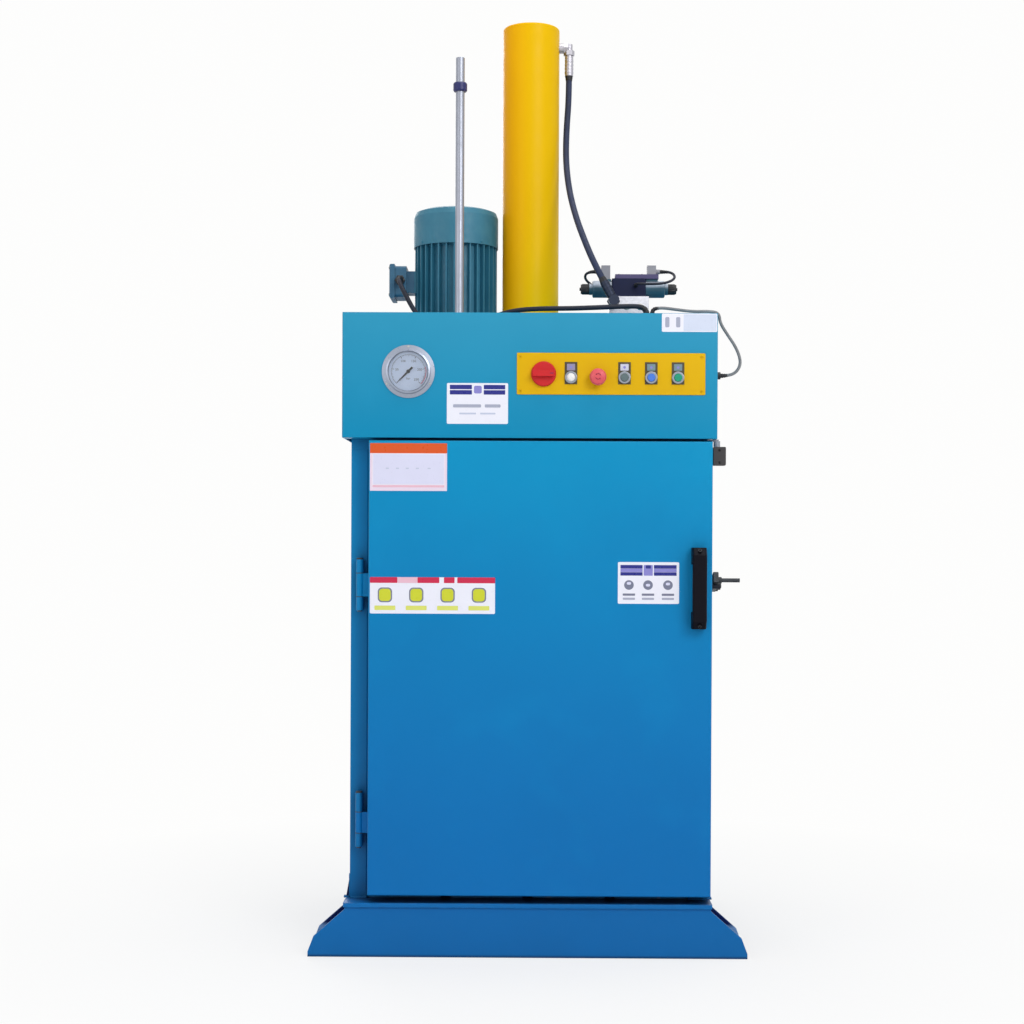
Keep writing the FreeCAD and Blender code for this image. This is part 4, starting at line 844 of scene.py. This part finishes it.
def make_cords():
    """The five cords, each with tapered sleeves where it leaves and meets the part."""
    for name, (node, route, diameter, length, look, slot, stiffness, lay) in CORDS.items():
        cord = make_line(name, route, diameter)
        cord.data.materials.append(LOOKS[look])
        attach(cord, "frame")
        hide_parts(node)
        places = points_along(route)
        half = diameter / 2
        thick = half + 0.0022
        form = bmesh.new()
        if name == "pressure_hose":
            for line in (places, places[::-1]):
                sleeve(form, line, 0.012, thick, half + 0.0006)
        else:
            sleeve(form, places, 3.2 * diameter, thick, half + 0.0005, 5)
            sleeve(form, places[::-1], 2.2 * diameter, thick, half + 0.0005, 3)
        relief = settle(f"{name}_reliefs", form, "black_plastic")


# ---- printed fields


def arc_field(x, z, inner, outer, first, last, steps=20):
    """The outline of a bent bar between two angles, in degrees from the right."""
    return points_round(x, z, outer, first, last, steps) + points_round(x, z, inner, last, first, steps)


def bar_field(x, z, angle, near, far, width):
    """The outline of a straight mark that points away from a centre."""
    along = Vector((math.cos(angle), math.sin(angle)))
    aside = Vector((-along.y, along.x)) * (width / 2)
    middle = Vector((x, z))
    corners = (along * near - aside, along * far - aside, along * far + aside, along * near + aside)
    return [tuple(middle + corner) for corner in corners]


def make_label(name, body, face, sheet, fields):
    """A vinyl plate on a face, with plain fields of colour on it.

    A field is a look and its outlines: ready ones, or (left, low, right, high, corner radius)."""
    form = bmesh.new()
    used = ["label_white"]
    front_plate(form, rounded(*sheet, 0.003), face + 0.0002, 0.0006)
    for layer, (look, *outlines) in enumerate(fields):
        if look not in used:
            used.append(look)
        for outline in outlines:
            if not isinstance(outline, list):
                outline = rounded(*outline)
            front_plate(form, outline, face - 0.0004 - 0.00004 * layer, 0.00012, used.index(look))
    settle(name, form, " ".join(used), body, soft=False)


def make_head_labels():
    """White plate with a broken double band and rows, and the pale plate in the upper corner."""
    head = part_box("head_cover")[0].y
    left, low, right, high = sheet = (-0.1984, 1.2803, -0.0518, 1.3779)
    bands = []
    for top in (1.3736, 1.3610):
        bands.append((left + 0.007, top - 0.0105, -0.1385, top, 0.0008))
        bands.append((-0.1100, top - 0.0105, right - 0.007, top, 0.0008))
    make_label("head_plate", "frame", head, sheet, [
        ("label_blue", *bands),
        ("label_violet", (-0.1335, 1.3530, -0.1150, 1.3715, 0.004)),
        ("label_soft", (left + 0.015, 1.3195, left + 0.082, 1.3270, 0.002),
         (left + 0.091, 1.3195, right - 0.018, 1.3270, 0.002)),
        ("label_faint", (left + 0.030, 1.3030, left + 0.070, 1.3070, 0.0012),
         (left + 0.080, 1.3030, right - 0.030, 1.3070, 0.0012)),
    ])

    left, low, right, high = sheet = (0.3155, 1.5022, 0.4480, 1.5460)
    make_label("corner_plate", "frame", head, sheet, [
        ("label_cool", (left + 0.0520, low + 0.002, right - 0.002, high - 0.002, 0.002)),
        ("label_soft", (left + 0.008, 1.5130, left + 0.018, 1.5375, 0.003),
         (left + 0.034, 1.5130, left + 0.044, 1.5375, 0.003)),
    ])


def make_door_labels():
    """Plate with an orange head, long plate with four yellow fields, and plate with three discs."""
    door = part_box("door_shell")[0].y
    left, low, right, high = sheet = (-0.3818, 1.1191, -0.1972, 1.2333)
    dashes = [(x, 1.1715, x + 0.0075, 1.1745, 0.001) for x in (-0.3440, -0.3195, -0.2960, -0.2720, -0.2440)]
    make_label("orange_plate", "door", door, sheet, [
        ("label_orange", (left, 1.2090, right, high, 0.0015)),
        ("label_blush", (left, low, left + 0.0065, 1.2085, 0.001),
         (right - 0.0065, low, right, 1.2085, 0.001)),
        ("label_mist", (left + 0.0075, 1.1345, right - 0.0075, 1.2075, 0.001)),
        ("label_faint", *dashes),
        ("label_pink", (left + 0.0065, 1.1275, right - 0.0065, 1.1330, 0.0008)),
        ("label_blush", (left + 0.0065, low, right - 0.0065, 1.1270, 0.001)),
    ])

    left, low, right, high = sheet = (-0.3809, 0.8251, -0.0809, 0.9124)
    middles = [-0.3448 + 0.0751 * step for step in range(4)]
    reds = [(left, -0.3150), (-0.2670, -0.2145), (-0.2035, -0.1780), (-0.1715, right)]
    make_label("red_plate", "door", door, sheet, [
        ("label_red", *[(first, 0.8985, last, high, 0.0015) for first, last in reds]),
        ("label_pink", (-0.3145, 0.8985, -0.2675, high, 0.0010)),
        ("label_grey", *[(x - 0.0172, 0.8520, x + 0.0172, 0.8875, 0.010, 6) for x in middles]),
        ("label_yellow", *[(x - 0.0140, 0.8550, x + 0.0140, 0.8845, 0.008, 6) for x in middles]),
        ("label_lemon", *[(x - 0.0250, 0.8335, x + 0.0250, 0.8440, 0.0015) for x in middles]),
    ])

    left, low, right, high = sheet = (0.2130, 0.8511, 0.3594, 0.9509)
    discs = [(0.2395, 0.0042), (0.2851, 0.0), (0.3328, 0.0030)]
    bands = []
    between = [(0.2745, 0.9185, 0.2965, 0.9440, 0.002)]
    for first, last in ((left + 0.006, 0.2720), (0.2990, right - 0.006)):
        for low_edge, high_edge in ((0.9185, 0.9265), (0.9355, 0.9440)):
            bands.append((first, low_edge, last, high_edge, 0.0008))
        between.append((first, 0.9268, last, 0.9352, 0.0008))
    make_label("blue_plate", "door", door, sheet, [
        ("label_violet", *between),
        ("label_blue", *bands, (0.2795, 0.9355, 0.2920, 0.9437, 0.0015)),
        ("label_grey", *[round_field(x, 0.8960, 0.0115) for x, lift in discs],
         *[(x - 0.0148, 0.8704, x + 0.0148, 0.8756, 0.0012) for x, lift in discs]),
        ("label_soft", *[(x - 0.0145, 0.8606, x + 0.0145, 0.8656, 0.0012) for x, lift in discs]),
        ("label_mist", *[(x - 0.0050, 0.8925 + lift, x + 0.0050, 0.8990 + lift, 0.0028)
                         for x, lift in discs]),
    ])


def add_digits(form, text, size, x, z, face):
    """Plain digits, a tenth of a millimetre proud of a face that looks to the front."""
    data = bpy.data.curves.new("digits", "FONT")
    data.body = text
    data.size = size
    data.align_x = "CENTER"
    data.align_y = "CENTER"
    data.extrude = 0.0001
    data.resolution_u = 2
    digits = bpy.data.objects.new("digits", data)
    bpy.context.scene.collection.objects.link(digits)
    bpy.context.view_layer.update()
    mesh = bpy.data.meshes.new_from_object(digits)
    mesh.transform(Matrix.Translation((x, face, z)) @ Matrix.Rotation(math.pi / 2, 4, "X"))
    form.from_mesh(mesh)
    bpy.data.objects.remove(digits)
    bpy.data.curves.remove(data)
    bpy.data.meshes.remove(mesh)


def make_gauge():
    """Scale and numbers on the dial, and the screws in the gauge's flange."""
    x, y, z = centre("gauge_dial")
    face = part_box("gauge_dial")[0].y
    form = bmesh.new()
    add_digits(form, "bar", 0.0075, x, z - 0.017, face)
    for step in range(51):
        angle = math.radians(225 - 270 * step / 50)
        inner = 0.0345 if step % 10 == 0 else 0.0365 if step % 5 == 0 else 0.0380
        width = 0.0011 if step % 10 == 0 else 0.0005
        front_plate(form, bar_field(x, z, angle, inner, 0.0405, width), face + 0.0001, 0.0003)
        if step % 10 == 0:
            add_digits(form, str(5 * step), 0.0082, x + 0.0275 * math.cos(angle),
                       z + 0.0275 * math.sin(angle), face)
    front_plate(form, arc_field(x, z, 0.0403, 0.0408, -45, 225, 60), face + 0.0001, 0.0003)
    front_plate(form, arc_field(x, z, 0.0418, 0.0432, -45, 15, 24), face + 0.0001, 0.0003, 1)
    settle("dial_scale", form, "dial_print label_red", soft=False)

    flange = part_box("head_cover")[0].y - 0.0026
    form = bmesh.new()
    for right, above in points_round(x, z, 0.0592, 90, 330, 2):
        pan_screw(form, at(right, flange, above, "front"), 0.0026)
    settle("gauge_screws", form, "zinc_plating")


def make_panel():
    """Corner screws, windows of the legend plates, pointer of the main switch, marks on the stop."""
    low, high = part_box("panel_plate")
    form = bmesh.new()
    for x in (low.x + 0.0085, high.x - 0.0085):
        for z in (low.z + 0.0088, high.z - 0.0088):
            pan_screw(form, at(x, low.y, z, "front"), 0.0036)
    settle("panel_screws", form, "panel_enamel")

    low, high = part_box("legend_plates")
    first = centre("pilot_lamp")[0]
    pitch = (high.x - 0.015 - first) / 4
    form = bmesh.new()
    for step, index in ((0, 0), (2, 1), (3, 2), (4, 2)):
        x = first + step * pitch
        window = rounded(x - 0.0098, 1.4088, x + 0.0098, 1.4246, 0.0016)
        front_plate(form, window, low.y + 0.0002, 0.0007, index)
        front_plate(form, round_field(x, 1.4165, 0.0032, 20), low.y - 0.0004, 0.0002, 3)
    settle("legend_windows", form, "window_violet window_pale window_teal label_violet",
           soft=False)

    low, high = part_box("main_switch_knob")
    middle = centre("main_switch_knob")[2]
    form = bmesh.new()
    front_plate(form, rounded(high.x - 0.0150, middle - 0.0016, high.x - 0.0062, middle + 0.0016, 0.0014),
                low.y + 0.0002, 0.0006)
    settle("switch_pointer", form, "label_wine", "main_switch", soft=False)

    x, y, z = centre("estop_button")
    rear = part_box("estop_button")[0].y + 0.0006
    form = bmesh.new()
    for start in (20, 200):
        front_plate(form, arc_field(x, z, 0.0058, 0.0073, start, start + 105), rear, 0.0008)
        angle = math.radians(start + 118) + 0.22
        back = math.radians(start + 103)
        arrow = [(x + reach * math.cos(back), z + reach * math.sin(back)) for reach in (0.0043, 0.0088)]
        arrow.append((x + 0.0066 * math.cos(angle), z + 0.0066 * math.sin(angle)))
        front_plate(form, arrow, rear, 0.0008)
    settle("stop_marks", form, "label_wine", "stop_button", soft=False)


# ---- fasteners and seams

HINGE_GAPS = (0.292, 0.343, 0.864, 0.921)
FRAME_LEAVES = ((0.259, 0.292), (0.343, 0.389), (0.831, 0.864), (0.921, 0.954))
RIB_LEVELS = (0.350, 0.650, 0.950)
MOTOR_AXIS = (-0.195, 0.020)
VALVE_Y = -0.190
COVER_SCREWS_X = (0.221, 0.277)
PLUG_SCREWS_X = (0.188, 0.302)
PORTS_X = (0.240, 0.272)
PORT_Z = 1.582
COIL_Z = 1.630


def make_door_fittings():
    """Screws of the handle, weld beads of the door's hinge leaves and washers in the hinge gaps."""
    low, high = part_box("door_handle")
    x = centre("door_handle")[0]
    form = bmesh.new()
    for z, rise in ((high.z - 0.009, 0.614), (low.z + 0.009, -0.614)):
        cap_screw(form, at(x, low.y + 0.0072, z, (0, -0.789, rise)), 0.0055)
    settle("handle_screws", form, "black_plastic", "door")

    low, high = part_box("door_knuckles")
    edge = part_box("door_shell")[0].x - 0.0005
    form = bmesh.new()
    for bottom, top in ((low.z, low.z + 0.0502), (high.z - 0.0562, high.z)):
        for y in (-0.3375, -0.3265):
            weld(form, (edge, y, bottom + 0.002), (edge, y, top - 0.002), 0.0022)
    settle("door_welds", form, "door_enamel", "door")

    x, y, z = centre("hinge_pins")
    form = bmesh.new()
    for level in HINGE_GAPS:
        turn(form, at(x, y, level), (0.0094, -0.0009), (0.0094, 0.0009), sides=32)
    settle("hinge_washers", form, "lever_finish")


def make_frame_welds():
    """Beads along the seams of the welded frame."""
    form = bmesh.new()
    for side in (-1, 1):
        web = 0.3962 * side
        weld(form, (web, -0.300, 0.1312), (web, 0.300, 0.1312), 0.0036)
        for level in RIB_LEVELS:
            for start in (-0.290, -0.145, 0.0, 0.145):
                weld(form, (web, start, level - 0.0004), (web, start + 0.075, level - 0.0004), 0.0030)
        for y in (-0.295, 0.295):
            for face in (-0.005, 0.005):
                weld(form, (0.4335 * side, y + face, 0.132), (0.4335 * side, y + face, 0.186), 0.0026)
                weld(form, (0.436 * side, y + face, 0.1304), (0.4485 * side, y + face, 0.1304), 0.0026)
        for y in (-0.3108, 0.3108):
            weld(form, (0.392 * side, y, 0.1308), (0.431 * side, y, 0.1308), 0.0030)
    for level in RIB_LEVELS:
        for start in (-0.415, -0.235, -0.055, 0.125, 0.305):
            for edge in (level, level + 0.060):
                weld(form, (start, 0.3105, edge), (start + 0.095, 0.3105, edge), 0.0030)
    for bottom, top in FRAME_LEAVES:
        for x in (-0.4142, -0.4038):
            weld(form, (x, -0.3105, bottom + 0.001), (x, -0.3105, top - 0.001), 0.0022)
    settle("frame_welds", form, "frame_enamel")

    form = bmesh.new()
    for side in (-1, 1):
        for y in (-0.252, 0.252):
            for x in (0.410, 0.350):
                weld(form, (x * side, y, 0.012), (x * side, y, 0.108), 0.0032)
    settle("base_welds", form, "base_enamel")


def make_head_screws():
    """Countersunk screws of the top plate and round heads on the rear panel."""
    low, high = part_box("head_top_plate")
    inset = 0.014
    form = bmesh.new()
    for x in spaced(low.x, high.x, inset, 7):
        for y in (low.y + inset, high.y - inset):
            sunk_screw(form, at(x, y, high.z), 0.0058)
    for y in spaced(low.y, high.y, inset, 6)[1:-1]:
        for x in (low.x + inset, high.x - inset):
            sunk_screw(form, at(x, y, high.z), 0.0058)
    low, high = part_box("head_rear_panel")
    across = spaced(low.x, high.x, 0.016, 6)
    for x in across:
        for z in (low.z + 0.014, high.z - 0.014):
            pan_screw(form, at(x, high.y, z, "back"), 0.0042)
    for x in (across[0], across[-1]):
        pan_screw(form, at(x, high.y, centre("head_rear_panel")[2], "back"), 0.0042)
    settle("head_screws", form, "zinc_plating")


def make_motor_fittings():
    """Flange bolts, terminal box screws, gland nut, blanking plug and the cylinder's seal."""
    flange_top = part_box("motor_frame")[0].z + 0.0132
    bolt_circle = 0.1008
    middle = Vector(MOTOR_AXIS)
    form = bmesh.new()
    for step in range(8):
        angle = math.radians(22.5 + 45 * step)
        spot = middle + Vector((math.cos(angle), math.sin(angle))) * bolt_circle
        hex_bolt(form, at(spot.x, spot.y, flange_top), 0.0052)
    low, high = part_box("terminal_box")
    for y in (MOTOR_AXIS[1] - 0.043, MOTOR_AXIS[1] + 0.043):
        for z in (low.z + 0.0095, high.z - 0.0095):
            pan_screw(form, at(low.x, y, z, "left"), 0.0038)
    hex_bolt(form, at(low.x + 0.0075, MOTOR_AXIS[1], high.z - 0.0006), 0.0042)
    settle("motor_screws", form, "zinc_plating")

    form = bmesh.new()
    x, y, z = MOTOR_LEAD_ROUTE[0]
    hex_nut(form, at(x, y + 0.0115, z, "front"), 0.0118, 0.0, 0.0070, 0.0108, 0.0082)
    spot = at(x, 0.0655, z, "back")
    turn(form, spot, (0.0105, -0.002), (0.0105, 0.0014), (0.0096, 0.0022), sides=32)
    hex_nut(form, spot, 0.0062, 0.0018, 0.0052, 0.0052, 0.0060)
    settle("gland_nut", form, "black_plastic")

    form = bmesh.new()
    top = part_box("head_top_plate")[1].z
    turn(form, at(0, 0, top - 0.0002), (0.0728, 0), (0.0800, 0), (0.0800, 0.0030), (0.0775, 0.0048),
         (0.0728, 0.0052), sides=64)
    settle("cylinder_seal", form, "black_plastic")


def make_valve_fittings():
    """Socket screws of the valve, its block and plugs, port plugs and coil nuts."""
    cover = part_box("valve_body")[1].z
    low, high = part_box("manifold_block")
    form = bmesh.new()
    for x in COVER_SCREWS_X:
        for y in (VALVE_Y - 0.012, VALVE_Y + 0.012):
            cap_screw(form, at(x, y, cover - 0.0012), 0.0032)
    for x in (low.x + 0.0062, high.x - 0.0062):
        for y in (low.y + 0.008, high.y - 0.008):
            cap_screw(form, at(x, y, low.z + 0.0118), 0.0056)
    for x in PORTS_X:
        turn(form, at(x, low.y + 0.0004, PORT_Z, "front"), (0.0078, 0), (0.0078, 0.0022),
             (0.0068, 0.0030), (hexagon(0.0036), 0.0030), (hexagon(0.0034), 0.0008), sides=28)
    plug_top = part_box("solenoid_plugs")[1].z
    for x in PLUG_SCREWS_X:
        pan_screw(form, at(x, VALVE_Y, plug_top - 0.0006), 0.0034)
    settle("valve_screws", form, "zinc_plating")

    low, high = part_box("solenoids")
    form = bmesh.new()
    for x, facing in ((low.x + 0.0240, "left"), (high.x - 0.0240, "right")):
        rows = []
        for height, swell in ((0.0, 0.0), (0.0012, 0.0006), (0.0168, 0.0006), (0.0180, 0.0)):
            rows.append(ring(lambda angle: 0.0123 + swell + 0.0004 * math.cos(18 * angle), height, 72))
        skin(form, rows, at(x, VALVE_Y, COIL_Z, facing))
    settle("coil_nuts", form, "black_plastic")


def crimp_bands(form, spot, first, count):
    """The raised bands between the marks of a crimping tool."""
    for step in range(count):
        height = first + 0.010 * step
        turn(form, spot, (0.0106, height), (0.0116, height + 0.001), (0.0116, height + 0.005),
             (0.0106, height + 0.006))


def make_hose_fittings():
    """Hexagons of the hose unions and the bands that its crimps leave."""
    form = bmesh.new()
    top = Vector(HOSE_ROUTE[0])
    union = (0.0122, 0.0, 0.0125, 0.0112, 0.0138)
    hex_nut(form, at(top.x, top.y, top.z + 0.0530), *union)
    hex_nut(form, at(top.x - 0.0145, top.y, top.z + 0.0720, "right"), *union)
    crimp_bands(form, at(*top), 0.006, 4)
    bottom = Vector(HOSE_ROUTE[-1])
    way = (bottom - Vector(HOSE_ROUTE[-2])).normalized()
    crimp_bands(form, at(*bottom, tuple(way)), 0.005, 3)
    elbow = bottom + way * 0.052
    port = at(elbow.x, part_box("manifold_block")[0].y - 0.0015, elbow.z, "front")
    hex_nut(form, port, 0.0140, 0.0, 0.0120, 0.0128, 0.0134)
    settle("hose_nuts", form, "hose_end_finish")


def make_latch_fittings():
    """Dark cap and nut on the latch hook's pivot."""
    pivot = next(joint for joint in frame["record"]["behaviour"]["joints"] if joint["name"] == "latch_swing")
    y, z = pivot["pos_m"][1:]
    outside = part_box("right_wall")[1].x
    form = bmesh.new()
    turn(form, at(outside, y, z, "right"), (0.0134, -0.0050), (0.0134, 0.0003), sides=32)
    turn(form, at(outside - 0.0002, y, z, "right"), (hexagon(0.0098), 0.0), (hexagon(0.0098), 0.0060),
         (0.0088, 0.0070), (0.0062, 0.0070), (0.0058, 0.0088))
    settle("latch_nut", form, "lever_finish")


def make_switch_fittings():
    """Screws of the door switch."""
    low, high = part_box("interlock_switch")
    form = bmesh.new()
    for z in (low.z + 0.0075, low.z + 0.0370):
        pan_screw(form, at(high.x - 0.0150, low.y, z, "front"), 0.0030)
    settle("door_switch_screws", form, "black_plastic")


# ---- build the scene


make_camera()
make_lights()
make_world()
make_floor()
make_looks()
dress_nodes()
make_cords()
make_head_labels()
make_door_labels()
make_gauge()
make_panel()
make_door_fittings()
make_frame_welds()
make_head_screws()
make_motor_fittings()
make_valve_fittings()
make_hose_fittings()
make_latch_fittings()
make_switch_fittings()
